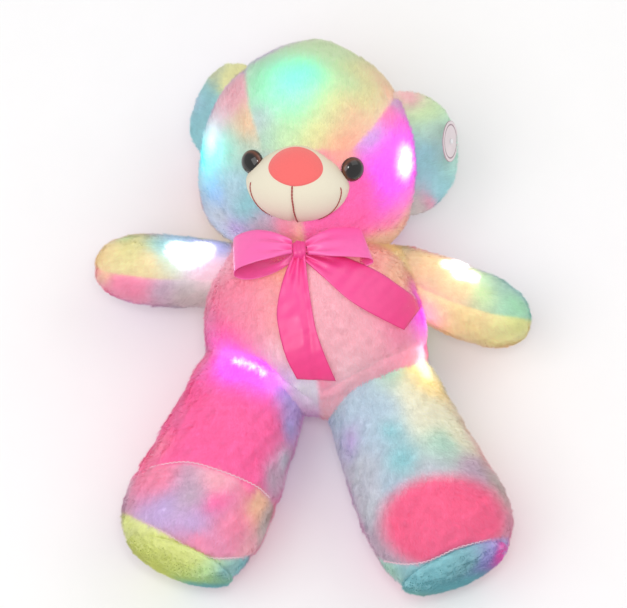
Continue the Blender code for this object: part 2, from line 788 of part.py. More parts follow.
# The ribbon: a gathered band round the neck, a knot, two loops and two tails

ribbon_width = 0.040
ribbon_thickness = 0.0008
ribbon_lift = 0.0012
band_height = 0.0064
band_thickness = 0.0014
band_turns = 36
# Each row: share of a half turn from the front, of the head's half width and of its drop
band_shares = (
    (0.0, 0.904, -0.918),
    (0.085, 0.819, -0.913),
    (0.15, 0.723, -0.924),
    (0.24, 0.521, -0.978),
    (0.35, 0.372, -1.033),
    (0.5, 0.362, -1.043),
    (0.75, 0.372, -1.049),
    (1.0, 0.383, -1.049),
)
knot_place = Vector((-0.0145, 0.078))
knot_half_size = Vector((0.0065, 0.0075, 0.0052))
knot_edge = 0.0032
knot_lift = 0.0022
loop_start = 0.003
loop_height = 0.021
loop_columns = 5
loop_lengths = {"left": 0.049, "right": 0.055}
loop_angles = {"left": math.radians(177), "right": math.radians(6)}
loop_droop = math.radians(6)
# Each row: share of the loop's length, of its height and of the ribbon's width
loop_path_shares = (
    (0.0, 0.34, 0.36),
    (0.25, 0.19, 0.62),
    (0.55, 0.16, 0.83),
    (0.85, 0.20, 0.93),
    (1.0, 0.50, 0.96),
    (0.85, 0.92, 0.93),
    (0.55, 1.02, 0.83),
    (0.25, 0.86, 0.62),
    (0.0, 0.62, 0.36),
)
tail_columns = 7
# Each row: place across as a share of the trunk's half width, above the hips as a share of its
# length, and share of the ribbon's width
tail_shares = {
    "left": (
        (-0.194, 0.439, 0.34),
        (-0.219, 0.335, 0.62),
        (-0.235, 0.232, 0.84),
        (-0.230, 0.116, 0.98),
        (-0.189, 0.013, 1.0),
        (-0.133, -0.071, 1.0),
    ),
    "right": (
        (-0.031, 0.439, 0.34),
        (0.122, 0.390, 0.60),
        (0.296, 0.332, 0.84),
        (0.490, 0.281, 0.98),
        (0.663, 0.248, 1.0),
        (0.796, 0.229, 1.0),
    ),
}


def sheet_solid(name, under, over, material, parent=None):
    """A thin solid between two equal grids of points."""
    bm = bmesh.new()
    low = [[bm.verts.new(point) for point in row] for row in under]
    high = [[bm.verts.new(point) for point in row] for row in over]
    rows, columns = len(low), len(low[0])
    for n in range(rows - 1):
        for m in range(columns - 1):
            bm.faces.new((low[n][m], low[n][m + 1], low[n + 1][m + 1], low[n + 1][m]))
            bm.faces.new((high[n][m], high[n + 1][m], high[n + 1][m + 1], high[n][m + 1]))
        for m in (0, columns - 1):
            bm.faces.new((low[n][m], high[n][m], high[n + 1][m], low[n + 1][m]))
    for m in range(columns - 1):
        for n in (0, rows - 1):
            bm.faces.new((low[n][m], high[n][m], high[n][m + 1], low[n][m + 1]))
    return add_mesh(name, bm, material, parent)


def band_at(turn_share):
    """The band's inner radius and height for a share of a full turn from the front."""
    half_share = 1 - abs(1 - 2 * (turn_share % 1))
    for first, second in zip(band_shares, band_shares[1:]):
        if half_share <= second[0]:
            break
    t = (half_share - first[0]) / (second[0] - first[0])
    ease = t * t * (3 - 2 * t)
    radius, height = [a + ease * (b - a) for a, b in zip(first[1:], second[1:])]
    return radius * head_half_width, height * head_drop


def band_mesh(more):
    """The neck band, with this much more room all round."""
    bm = bmesh.new()
    corners = []
    for n in range(band_turns):
        radius, height = band_at(n / band_turns)
        angle = FULL_TURN * n / band_turns
        inner, outer = radius - more, radius + band_thickness + more
        low, high = height - band_height / 2 - more, height + band_height / 2 + more
        section = ((inner, low), (outer, low), (outer, high), (inner, high))
        corners.append([bm.verts.new((r * math.sin(angle), y, r * math.cos(angle))) for r, y in section])
    for first, second in zip(corners, corners[1:] + corners[:1]):
        for n in range(4):
            m = (n + 1) % 4
            bm.faces.new((first[n], first[m], second[m], second[n]))
    return bm


add_mesh("neck_ribbon", band_mesh(0), satin_ribbon, head_frame)
cut(torso_body, add_mesh("neck_ribbon_room", band_mesh(seat_gap), parent=head_frame, helper=True))

trunk_frame = add_frame("trunk_frame", (body_centre_x, hips_y, 0))
torso_skin_mesh = loft_along_y(torso_rings, 3 * form_sides)
torso_skin = add_mesh("torso_skin", torso_skin_mesh, parent=torso_frame, helper=True)
skin_tree = evaluated_tree(torso_skin)


def on_chest(x, y):
    """The trunk's front surface above a place on its centre line's grid, in the trunk's frame."""
    above = trunk_frame.matrix_world @ Vector((x, y, 4 * torso_half_depth))
    place, normal = skin_tree.ray_cast(above, -Z_AXIS)[:2]
    return trunk_frame.matrix_world.inverted() @ place, normal


knot_seat, knot_normal = on_chest(*knot_place)
knot_across = (X_AXIS - X_AXIS.dot(knot_normal) * knot_normal).normalized()
knot_lay = Matrix((knot_across, knot_normal.cross(knot_across), knot_normal)).transposed().to_4x4()
bow_frame = add_frame("bow_frame", knot_seat, knot_lay, trunk_frame)
knot_low = Vector((0, 0, knot_lift + knot_half_size.z)) - knot_half_size
knot_high = knot_low + 2 * knot_half_size
add_mesh("bow_knot", box_mesh(knot_low, knot_high, knot_edge, 3), satin_ribbon, bow_frame)
knot_room = add_mesh(
    "knot_room",
    box_mesh(knot_low - seat_gap * ALL_ROUND, knot_high + seat_gap * ALL_ROUND, knot_edge, 3),
    parent=bow_frame,
    helper=True,
)

for side in SIDES:
    lay = Matrix.Rotation(loop_angles[side], 4, "Z") @ Matrix.Rotation(loop_droop, 4, "Y")
    loop_frame = add_frame(f"bow_loop_{side}_frame", (0, 0, 0), lay, bow_frame)
    stations = smooth_rows(loop_path_shares, 2)
    path = [
        (Vector((loop_start + along * loop_lengths[side], 0, rise * loop_height)), share * ribbon_width)
        for along, rise, share in stations
    ]
    under, over = [], []
    for n, (centre, width) in enumerate(path):
        before, after = path[max(n - 1, 0)][0], path[min(n + 1, len(path) - 1)][0]
        outward = (after - before).cross(Y_AXIS).normalized()
        across = [width * (m / (loop_columns - 1) - 1 / 2) * Y_AXIS for m in range(loop_columns)]
        under.append([centre - ribbon_thickness / 2 * outward + step for step in across])
        over.append([centre + ribbon_thickness / 2 * outward + step for step in across])
    cut(sheet_solid(f"bow_loop_{side}", under, over, satin_ribbon, loop_frame), knot_room)

    stations = [
        (x * torso_half_width, y * torso_length, width)
        for x, y, width in smooth_rows(tail_shares[side], 3)
    ]
    under, over = [], []
    for n, (x, y, share) in enumerate(stations):
        before, after = stations[max(n - 1, 0)], stations[min(n + 1, len(stations) - 1)]
        along = Vector((after[0] - before[0], after[1] - before[1], 0)).normalized()
        across = along.cross(Z_AXIS)
        row = []
        for m in range(tail_columns):
            place = Vector((x, y, 0)) + share * ribbon_width * (m / (tail_columns - 1) - 1 / 2) * across
            row.append(on_chest(place.x, place.y)[0] + ribbon_lift * Z_AXIS)
        under.append(row)
        over.append([place + ribbon_thickness * Z_AXIS for place in row])
    sheet_solid(f"bow_tail_{side}", under, over, satin_ribbon, trunk_frame)

# The zip in the back, set in a groove between the two back panels. It runs along the trunk

groove_half_width = 0.009
groove_low, groove_high = 0.0295, 0.092
groove_depth = 0.008
slot_half_width = 0.004
slot_low, slot_high = 0.038, 0.087
tape_inner, tape_outer = 0.0017, 0.0086
tape_thickness = 0.0008
coil_half_width = 0.0014
coil_thickness = 0.0022
coil_edge = 0.0006
coil_low, coil_high = 0.0415, 0.0845
stop_length = 0.002
slider_half_width = 0.0045
slider_half_length = 0.0055
slider_thickness = 0.0019
slider_edge = 0.0008
arch_half_width = 0.0008
arch_inner, arch_outer = 0.002, 0.0028
arch_opening = 0.0015
arch_thickness = 0.0008
pull_half_width = 0.0025
pull_length = 0.016
pull_thickness = 0.0009
pull_bar = 0.0005
window_half_width = 0.0017
window_length = 0.0042

groove = add_mesh(
    "zip_groove",
    box_mesh((-groove_half_width, groove_low, -overrun), (groove_half_width, groove_high, groove_depth)),
    parent=trunk_frame,
    helper=True,
)
cut(torso_body, groove)
tape_top = groove_depth - seat_gap
tape_bottom = tape_top - tape_thickness
for side, sign in SIDES.items():
    inner, outer = sorted((sign * tape_inner, sign * tape_outer))
    tape = box_mesh((inner, groove_low + seat_gap, tape_bottom), (outer, groove_high - seat_gap, tape_top))
    add_mesh(f"zip_tape_{side}", tape, zip_fabric, trunk_frame)
coil_bottom = tape_bottom - seat_gap
coil_top = coil_bottom + coil_thickness
coil_corner = (-coil_half_width, coil_low, coil_bottom)
coil = box_mesh(coil_corner, (coil_half_width, coil_high, coil_top), coil_edge, 1)
add_mesh("zip_coil", coil, zip_fabric, trunk_frame)
stops = {
    "zip_stop_top": coil_high + seat_gap,
    "zip_stop_bottom": coil_low - seat_gap - stop_length,
}
for name, low in stops.items():
    stop = box_mesh((-coil_half_width, low, coil_bottom), (coil_half_width, low + stop_length, coil_top))
    add_mesh(name, stop, zip_metal, trunk_frame)

slider_top = coil_bottom - seat_gap
slider_y = coil_high - slider_half_length
slider_frame = add_frame("zip_slider_frame", (0, slider_y, slider_top), parent=trunk_frame)
slider = box_mesh(
    (-slider_half_width, -slider_half_length, -slider_thickness),
    (slider_half_width, slider_half_length, 0),
    slider_edge,
    2,
)
zip_slider = add_mesh("zip_slider", slider, zip_metal, slider_frame)
opening_bottom = -slider_thickness - arch_opening
arch = box_mesh(
    (-arch_half_width, -arch_outer, opening_bottom - arch_thickness),
    (arch_half_width, arch_outer, -slider_thickness / 2),
)
combine(zip_slider, add_mesh("slider_arch", arch, parent=slider_frame, helper=True), "UNION")
opening = box_mesh((-overrun, -arch_inner, opening_bottom), (overrun, arch_inner, -slider_thickness))
cut(zip_slider, add_mesh("slider_arch_opening", opening, parent=slider_frame, helper=True))

# The pull turns about its own crossbar, which passes through the slider's arch
pull_frame = add_frame("zip_pull_frame", (0, 0, -slider_thickness - arch_opening / 2), parent=slider_frame)
pull = box_mesh(
    (-pull_half_width, -pull_length, -pull_thickness / 2),
    (pull_half_width, pull_bar, pull_thickness / 2),
)
zip_pull = add_mesh("zip_pull", pull, zip_metal, pull_frame)
window = box_mesh(
    (-window_half_width, -window_length - pull_bar, -overrun),
    (window_half_width, -pull_bar, overrun),
)
cut(zip_pull, add_mesh("pull_window", window, parent=pull_frame, helper=True))

# The battery case, laid across the trunk behind the zip, with its lid towards the zip

case_half_length = 0.031
case_low, case_high = 0.044, 0.080
case_bottom = 0.0159
case_height = 0.0129
case_wall = 0.0013
lid_thickness = 0.0013
pocket_floor = 0.0128
cell_bay_length = 0.051
case_edge = 0.0010
cell_radius = 0.00525
cell_length = 0.0445
cell_shoulder = 0.0008
nub_radius = 0.0019
nub_length = 0.0010
cell_pitch = 0.0109
contact_thickness = 0.0005
contact_half_width = 0.0042
spring_wire = 0.00035
spring_length = 0.0048
spring_base_radius = 0.0036
spring_tip_radius = 0.0020
spring_turns = 3
spring_points = 8
board_thickness = 0.0010
board_rise = 0.0044
board_half_length = 0.0130
board_centre = 0.0590
button_radius = 0.0024
button_flange = 0.0031
button_proud = 0.0008
flange_thickness = 0.0008
screw_head_radius = 0.0020
screw_head_height = 0.0007
screw_shank_radius = 0.0009
screw_length = 0.0080
screw_from_edge = 0.0034
boss_radius = 0.0024

case_top = case_bottom + case_height
lid_top = case_bottom - seat_gap
lid_bottom = lid_top - lid_thickness
case_middle = (case_low + case_high) / 2
bay_start = -case_half_length + case_wall
bay_end = bay_start + cell_bay_length
board_bay_start = bay_end + case_wall
board_bay_end = case_half_length - case_wall
board_x = (board_bay_start + board_bay_end) / 2
bay_low, bay_high = case_low + case_wall, case_high - case_wall

pocket = box_mesh(
    (-case_half_length - seat_gap, case_low - seat_gap, pocket_floor),
    (case_half_length + seat_gap, case_high + seat_gap, case_top + seat_gap),
)
cut(torso_body, add_mesh("battery_pocket", pocket, parent=trunk_frame, helper=True))
slot = box_mesh(
    (-slot_half_width, slot_low, groove_depth - overrun),
    (slot_half_width, slot_high, pocket_floor + seat_gap),
)
cut(torso_body, add_mesh("zip_slot", slot, parent=trunk_frame, helper=True))

case_corner = (-case_half_length, case_low, case_bottom)
case_shell = box_mesh(case_corner, (case_half_length, case_high, case_top), case_edge, 2)
battery_case = add_mesh("battery_case", case_shell, case_plastic, trunk_frame)
for name, start, end in (("cell_bay", bay_start, bay_end), ("board_bay", board_bay_start, board_bay_end)):
    bay = box_mesh((start, bay_low, case_bottom - overrun), (end, bay_high, case_top - case_wall))
    cut(battery_case, add_mesh(name, bay, parent=trunk_frame, helper=True))
screw_y = case_high - screw_from_edge
boss_top = case_top - case_wall / 2
boss = cylinder_mesh(boss_radius, (board_x, screw_y, case_bottom), (board_x, screw_y, boss_top), 20)
combine(battery_case, add_mesh("screw_boss", boss, parent=trunk_frame, helper=True), "UNION")
battery_lid = add_mesh(
    "battery_lid",
    box_mesh((-case_half_length, case_low, lid_bottom), (case_half_length, case_high, lid_top)),
    case_plastic,
    trunk_frame,
)

screw_frame = add_frame("lid_screw_frame", (board_x, screw_y, lid_bottom), parent=trunk_frame)
screw_tip = screw_head_height + screw_length
screw_rows = [
    (0, screw_head_radius),
    (screw_head_height, screw_head_radius),
    (screw_head_height, screw_shank_radius),
    (screw_tip, screw_shank_radius),
]
turned("lid_screw", screw_rows, zip_metal, screw_frame)
screw_room_rows = [
    (-overrun, screw_head_radius + seat_gap),
    (screw_head_height + seat_gap, screw_head_radius + seat_gap),
    (screw_head_height + seat_gap, screw_shank_radius + seat_gap),
    (screw_tip + seat_gap, screw_shank_radius + seat_gap),
]
screw_room = turned("screw_room", screw_room_rows, parent=screw_frame, helper=True)
cut(battery_lid, screw_room)
cut(battery_case, screw_room)

button_frame = add_frame("switch_button_frame", (board_x, board_centre, lid_bottom), parent=trunk_frame)
flange_bottom = lid_thickness + seat_gap
button_rows = [
    (-button_proud, button_radius),
    (flange_bottom, button_radius),
    (flange_bottom, button_flange),
    (flange_bottom + flange_thickness, button_flange),
]
turned("switch_button", button_rows, button_red, button_frame)
button_hole_rows = [(-overrun, button_radius + seat_gap), (overrun, button_radius + seat_gap)]
cut(battery_lid, turned("button_hole", button_hole_rows, parent=button_frame, helper=True))

board_bottom = case_bottom + board_rise
board_top = board_bottom + board_thickness
board = box_mesh(
    (board_bay_start + seat_gap, board_centre - board_half_length, board_bottom),
    (board_bay_end - seat_gap, board_centre + board_half_length, board_top),
)
add_mesh("circuit_board", board, board_green, trunk_frame)

cell_centre_z = lid_top + seat_gap + cell_radius
for n in range(3):
    # The cells lie head to tail, so each one's nub points the other way from its neighbour's
    facing = 1 if n % 2 == 0 else -1
    y = case_middle + (n - 1) * cell_pitch
    nub_end = bay_end if facing > 0 else bay_start
    spring_end = bay_start if facing > 0 else bay_end
    lay = Matrix.Rotation(facing * QUARTER_TURN, 4, "Y")
    spring_frame = add_frame(
        f"contact_spring_{n + 1}_frame",
        (spring_end + facing * (seat_gap + spring_wire), y, cell_centre_z),
        lay,
        trunk_frame,
    )
    steps = spring_turns * spring_points
    coil_points = []
    for step in range(steps + 1):
        share = step / steps
        angle = FULL_TURN * step / spring_points
        radius = spring_base_radius + share * (spring_tip_radius - spring_base_radius)
        height = share * (spring_length - 2 * spring_wire)
        coil_points.append((radius * math.cos(angle), radius * math.sin(angle), height))
    tube_object(f"contact_spring_{n + 1}", coil_points, spring_wire, spring_steel, spring_frame, resolution=1)
    cell_start = spring_end + facing * (seat_gap + spring_length + seat_gap)
    cell_frame = add_frame(f"battery_{n + 1}_frame", (cell_start, y, cell_centre_z), lay, trunk_frame)
    cell_rows = [
        (0, cell_radius - cell_shoulder),
        (cell_shoulder, cell_radius),
        (cell_length - nub_length - cell_shoulder, cell_radius),
        (cell_length - nub_length, cell_radius - cell_shoulder),
        (cell_length - nub_length, nub_radius),
        (cell_length, nub_radius),
    ]
    turned(f"battery_{n + 1}", cell_rows, cell_sleeve, cell_frame)
    near, far = sorted(
        (nub_end - facing * seat_gap, nub_end - facing * (seat_gap + contact_thickness))
    )
    plate = box_mesh(
        (near, y - contact_half_width, cell_centre_z - contact_half_width),
        (far, y + contact_half_width, cell_centre_z + contact_half_width),
    )
    add_mesh(f"contact_plate_{n + 1}", plate, spring_steel, trunk_frame)

# Lamps on wires: each lamp is a round board with a domed bulb, in a pocket of the stuffing

wire_radius = 0.0010
channel_radius = 0.0019
lamp_board_radius = 0.0055
lamp_board_thickness = 0.0016
bulb_radius = 0.0025
bulb_straight = 0.0035
bulb_dome = 0.0025
lamp_room = 0.0004
wire_end_gap = 0.0003
junction_radius = 0.0012
lamp_approach = 0.004
shoulder_pole_reach = {"left": 0.0260, "right": 0.0292}
arm_lamp_reach = {"left": 0.037, "right": 0.057}
arm_lamp_rise = 0.010
# Lamp places as shares of the form's half width, length and half depth, with the way each one points
trunk_sizes = (torso_half_width, torso_length, torso_half_depth)
trunk_lamp_shares = {
    "led_chest_right": ((0.827, 0.239, 1.055), (1, 0, 0.1)),
    "led_hip_left": ((-0.510, 0.194, 1.534), (-0.35, -0.1, 1)),
    "led_hip_right": ((0.786, 0.213, 1.205), (1, 0, 0.9)),
}
head_sizes = (head_half_width, head_rise, head_half_depth)
head_lamp_shares = {
    "led_forehead": (-0.117, 0.533, 0.644),
    "led_cheek_left": (-0.745, -0.030, 0.368),
    "led_cheek_right": (0.755, -0.030, 0.310),
}


def lamp(name, place, aim, holder, parent):
    """A lamp in a pocket of the holder, its board's back at a place and its bulb pointing along aim.

    It gives the last two points of the wire that feeds it.
    """
    aim = Vector(aim).normalized()
    lay = Z_AXIS.rotation_difference(aim).to_matrix().to_4x4()
    frame = add_frame(f"{name}_frame", place, lay, parent)
    bulb_top = lamp_board_thickness + bulb_straight
    rows = [
        (0, lamp_board_radius),
        (lamp_board_thickness, lamp_board_radius),
        (lamp_board_thickness, bulb_radius),
        *dome_rows(bulb_radius, bulb_dome, bulb_top, 3),
    ]
    turned(name, rows, lamp_resin, frame, sides=12)
    pocket_rows = [
        (-seat_gap, lamp_board_radius + lamp_room),
        (bulb_top + bulb_dome + lamp_room, lamp_board_radius + lamp_room),
    ]
    cut(holder, turned(f"{name}_pocket", pocket_rows, parent=frame, helper=True, sides=12))
    return [Vector(place) - lamp_approach * aim, Vector(place) - wire_end_gap * aim]


def loom(name, routes, holder, parent):
    """Wires that share a junction, joined into one, with their channels cut in the holder."""
    wire = None
    joined = []
    for n, route in enumerate(routes):
        label = f"{name}_{n}" if n else name
        piece = tube_object(label, route, wire_radius, wire_sleeve, parent, helper=n > 0, resolution=1)
        points = [Vector(point) for point in route]
        points[-1] = points[-1] + overrun * (points[-1] - points[-2]).normalized()
        if n == 0:
            points[0] = points[0] + overrun * (points[0] - points[1]).normalized()
        label = f"{name}_channel_{n}"
        cut(holder, tube_object(label, points, channel_radius, parent=parent, helper=True, resolution=0))
        if wire:
            combine(wire, piece, "UNION")
        if wire and route[0] not in joined:
            knob = ball(f"{name}_junction_{n}", junction_radius, parent, route[0], segments=8)
            combine(wire, knob, "UNION")
            joined.append(route[0])
        wire = wire or piece
    return wire


neck_in_trunk = trunk_frame.matrix_world.inverted() @ neck_centre
neck_wire_end = neck_in_trunk + (neck_ball_radius - wire_end_gap) * up_of_head
# Where the wires in the trunk bend and branch, in its frame
case_bend = (0.020, 0.066, 0.043)
junction = (0.008, 0.076, 0.050)
neck_bend = (0.0, 0.095, 0.055)
left_branch = (-0.035, 0.062, 0.054)
right_branch = (0.045, 0.060, 0.054)
shoulder_bend_y = 0.050
chest_right_bend = (0.066, 0.048, 0.068)
hip_right_bend = (0.058, 0.044, 0.072)
hip_left_bend = (-0.042, 0.046, 0.084)
board_wire = Vector((board_x, board_centre, board_top + wire_end_gap))
case_exit = Vector((board_x, board_centre, case_top + 2 * channel_radius))
pole_gap = socket_gap + wire_end_gap
shoulder_pole = {side: shoulder_above_hips - reach - pole_gap for side, reach in shoulder_pole_reach.items()}
trunk_lamp_wires = {}
for name, (shares, aim) in trunk_lamp_shares.items():
    place = Vector([share * size for share, size in zip(shares, trunk_sizes)])
    trunk_lamp_wires[name] = lamp(name, place, aim, torso_body, trunk_frame)
trunk_routes = [
    [board_wire, case_exit, case_bend, junction, neck_bend, neck_in_trunk, neck_wire_end],
    [
        junction,
        left_branch,
        (-shoulder_half_span, shoulder_bend_y, shoulder_height),
        (-shoulder_half_span, shoulder_pole["left"], shoulder_height),
    ],
    [
        junction,
        right_branch,
        (shoulder_half_span, shoulder_bend_y, shoulder_height),
        (shoulder_half_span, shoulder_pole["right"], shoulder_height),
    ],
    [right_branch, chest_right_bend, *trunk_lamp_wires["led_chest_right"]],
    [right_branch, hip_right_bend, *trunk_lamp_wires["led_hip_right"]],
    [left_branch, hip_left_bend, *trunk_lamp_wires["led_hip_left"]],
]
loom("wire_torso", trunk_routes, torso_body, trunk_frame)
case_bore = cylinder_mesh(channel_radius, case_exit, board_wire - overrun / 2 * Z_AXIS, 12)
cut(battery_case, add_mesh("case_wire_bore", case_bore, parent=trunk_frame, helper=True))

head_lamp_wires = []
for name, shares in head_lamp_shares.items():
    place = Vector([share * size for share, size in zip(shares, head_sizes)])
    head_lamp_wires.append(lamp(name, place, place, head, head_frame))
hollow_top = (0, -neck_below_head + neck_ball_radius + swing_gap + wire_end_gap, 0)
head_junction_drop = 0.010
head_junction = (0, -head_junction_drop, 0)
head_routes = [[head_junction, *ends] for ends in head_lamp_wires]
head_routes[0] = [hollow_top, *head_routes[0]]
loom("wire_head", head_routes, head, head_frame)

for side in SIDES:
    frame = arm_frames[side]
    reach = arm_lamp_reach[side]
    lamp_wire = lamp(f"led_arm_{side}", (0, reach, arm_lamp_rise), Z_AXIS, arms[side], frame)
    pole = frame.matrix_world.to_3x3().inverted() @ -Y_AXIS
    arm_route = [
        (shoulder_pole_reach[side] - wire_end_gap) * pole,
        Vector((0, 0, 0)),
        (0, reach - arm_lamp_rise, 0),
        *lamp_wire,
    ]
    loom(f"wire_arm_{side}", [arm_route], arms[side], frame)
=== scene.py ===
"""A plush night light: a lying toy bear in dyed plush with lamps under its fabric.

Its skins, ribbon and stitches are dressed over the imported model, in metres.
"""

import json
import math

import bmesh
import bpy
import numpy as np
from mathutils import Matrix, Vector
from mathutils.bvhtree import BVHTree
from mathutils.kdtree import KDTree


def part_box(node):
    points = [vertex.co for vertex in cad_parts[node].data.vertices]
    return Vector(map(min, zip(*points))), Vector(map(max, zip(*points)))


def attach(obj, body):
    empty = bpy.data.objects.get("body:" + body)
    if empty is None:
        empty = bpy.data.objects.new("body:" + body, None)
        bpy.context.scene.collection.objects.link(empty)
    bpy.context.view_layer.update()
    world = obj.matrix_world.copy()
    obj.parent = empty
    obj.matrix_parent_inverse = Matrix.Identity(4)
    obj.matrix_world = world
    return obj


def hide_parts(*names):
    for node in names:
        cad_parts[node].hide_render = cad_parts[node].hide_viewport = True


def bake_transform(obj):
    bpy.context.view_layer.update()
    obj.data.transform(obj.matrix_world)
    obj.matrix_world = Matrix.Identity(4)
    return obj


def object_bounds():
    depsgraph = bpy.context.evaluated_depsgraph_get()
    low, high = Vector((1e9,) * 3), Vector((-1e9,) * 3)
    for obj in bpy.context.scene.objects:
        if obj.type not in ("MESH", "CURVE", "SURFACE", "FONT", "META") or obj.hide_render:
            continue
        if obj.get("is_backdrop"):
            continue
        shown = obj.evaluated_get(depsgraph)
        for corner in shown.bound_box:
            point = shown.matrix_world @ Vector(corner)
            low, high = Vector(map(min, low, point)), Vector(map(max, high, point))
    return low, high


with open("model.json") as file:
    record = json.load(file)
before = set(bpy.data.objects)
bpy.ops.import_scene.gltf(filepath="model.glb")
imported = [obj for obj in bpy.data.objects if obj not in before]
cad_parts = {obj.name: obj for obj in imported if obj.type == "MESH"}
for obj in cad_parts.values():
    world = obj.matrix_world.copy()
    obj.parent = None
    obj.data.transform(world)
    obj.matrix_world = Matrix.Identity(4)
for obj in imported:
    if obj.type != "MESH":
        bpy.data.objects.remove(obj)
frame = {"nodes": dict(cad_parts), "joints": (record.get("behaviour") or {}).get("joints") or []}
nodes = frame["nodes"]
cad_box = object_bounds()

# The stage: the toy lies on a pale table under soft light, seen from steeply above its feet.
# The camera stands far off, so that a pixel of the photograph is the same length all over the toy.

photo_middle = (313.5, 304)
photo_width = 627
pixel = 0.00087
camera_rise = math.radians(72)
camera_distance = 4.0
camera_target = Vector((0.0009, 0.0086, 0.08))
RIGHT = Vector((1, 0, 0))
UP = Vector((0, math.sin(camera_rise), math.cos(camera_rise)))
BACK = Vector((0, -math.cos(camera_rise), math.sin(camera_rise)))
camera_place = camera_target + camera_distance * BACK


def in_scene(name, data):
    made = bpy.data.objects.new(name, data)
    bpy.context.scene.collection.objects.link(made)
    return made


def aimed(item, place, way):
    """Stands a camera or a light at a place, looking along a way."""
    item.location = place
    item.rotation_mode = "QUATERNION"
    item.rotation_quaternion = way.to_track_quat("-Z", "Y")


camera = in_scene("camera", bpy.data.cameras.new("camera"))
camera.data.sensor_width = 36
camera.data.lens = camera.data.sensor_width * camera_distance / (photo_width * pixel)
camera.data.clip_end = 20
aimed(camera, camera_place, -BACK)
bpy.context.scene.camera = camera
bpy.context.scene.view_settings.view_transform = "Standard"


class Wire:
    """A value among a material's nodes. Sums and products of wires add Math nodes."""

    def __init__(self, tree, socket=None):
        self.tree, self.socket = tree, socket

    def node(self, kind, inputs=None, output=0, stops=(), **settings):
        made = self.tree.nodes.new(kind)
        for name, value in settings.items():
            setattr(made, name, value)
        for n, (place, colour) in enumerate(stops):
            ramp = made.color_ramp.elements
            stop = ramp[n] if n < 2 else ramp.new(place)
            stop.position, stop.color = place, colour
        for name, value in (inputs or {}).items():
            if isinstance(value, Wire):
                self.tree.links.new(value.socket, made.inputs[name])
            else:
                made.inputs[name].default_value = value
        return Wire(self.tree, made.outputs[output])

    def maths(self, operation, *others):
        values = dict(enumerate((self, *others)))
        return self.node("ShaderNodeMath", values, operation=operation)

    def __add__(self, other):
        return self.maths("ADD", other)

    __radd__ = __add__

    def __mul__(self, other):
        return self.maths("MULTIPLY", other)

    __rmul__ = __mul__

    def __sub__(self, other):
        return self.maths("SUBTRACT", other)

    def __rsub__(self, other):
        return self.node("ShaderNodeMath", {0: other, 1: self}, operation="SUBTRACT")

    def scaled(self, amount):
        """A colour made lighter or darker."""
        return self.node("ShaderNodeVectorMath", {0: self, "Scale": amount}, operation="SCALE")

    def mixed(self, other, amount):
        """This colour with a share of another."""
        inputs = {0: amount, 6: self, 7: other}
        return self.node("ShaderNodeMix", inputs, output=2, data_type="RGBA")


def turn_about(axis, degrees):
    return Matrix.Rotation(math.radians(degrees), 4, axis)


def linear(code):
    """A colour written as six hex digits, in the values that the shaders take."""
    parts = [int(code[n : n + 2], 16) / 255 for n in (0, 2, 4)]
    return (*(p / 12.92 if p <= 0.04045 else ((p + 0.055) / 1.055) ** 2.4 for p in parts), 1.0)


def material(name, varying, **fixed):
    """A Principled material. varying gives the wires of the sockets that vary over the surface."""
    made = bpy.data.materials.new(name)
    made.use_nodes = True
    tree = made.node_tree
    shader = tree.nodes["Principled BSDF"]
    for socket, value in fixed.items():
        shader.inputs[socket.replace("_", " ")].default_value = value
    for socket, wire in varying(Wire(tree)).items():
        tree.links.new(wire.socket, shader.inputs[socket])
    return made


def noise(m, scale, detail=3.0, stretch=(1, 1, 1)):
    place = m.node("ShaderNodeTexCoord", output="Object")
    place = m.node("ShaderNodeMapping", {"Vector": place, "Scale": stretch})
    settings = {"Vector": place, "Scale": scale, "Detail": detail}
    return m.node("ShaderNodeTexNoise", settings)


def kept(m, name, output=0):
    """A value that note() keeps for each point of a mesh."""
    return m.node("ShaderNodeAttribute", attribute_name=name, output=output)


def bump(m, height, depth, strength=0.5):
    return m.node("ShaderNodeBump", {"Height": height, "Distance": depth, "Strength": strength})


def plain(m, code):
    colour = m.node("ShaderNodeRGB")
    colour.socket.default_value = linear(code)
    return colour


def tinted(m, code, low=0.93, more=0.14, scale=300, stretch=(1, 1, 1), detail=4.0):
    """A colour, a little lighter and darker from place to place."""
    return plain(m, code).scaled(low + more * noise(m, scale, detail, stretch))


def table_look(m):
    return {"Base Color": tinted(m, "f7f6f6", 0.985, 0.02, 30, detail=3.0)}


bm = bmesh.new()
bmesh.ops.create_grid(bm, x_segments=2, y_segments=2, size=6)
table = in_scene("table", bpy.data.meshes.new("table"))
bm.to_mesh(table.data)
table.data.materials.append(material("table_white", table_look, Roughness=0.8))
table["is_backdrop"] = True

world = bpy.context.scene.world or bpy.data.worlds.new("room")
bpy.context.scene.world = world
world.use_nodes = True
sky = world.node_tree.nodes["Background"]
sky.inputs["Color"].default_value = linear("ffffff")
sky.inputs["Strength"].default_value = 0.72
for name, place, size, power in (
    ("key_light", (-0.9, -0.5, 2.0), 1.6, 13.5),
    ("fill_light", (1.4, 0.9, 1.8), 1.8, 8.0),
    ("glint_light", (0.05, -0.45, 2.1), 0.32, 4.5),
):
    lamp = in_scene(name, bpy.data.lights.new(name, "AREA"))
    lamp.data.size = size
    lamp.data.energy = power
    aimed(lamp, place, camera_target - Vector(place))

# The trunk: a pear of dyed plush, two panels sewn down the middle and stuffed with fibre.
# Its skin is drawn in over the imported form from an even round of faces, then creased along the
# sewn lines, dyed in soft patches, and given a short pile of loose fibres combed downwards.

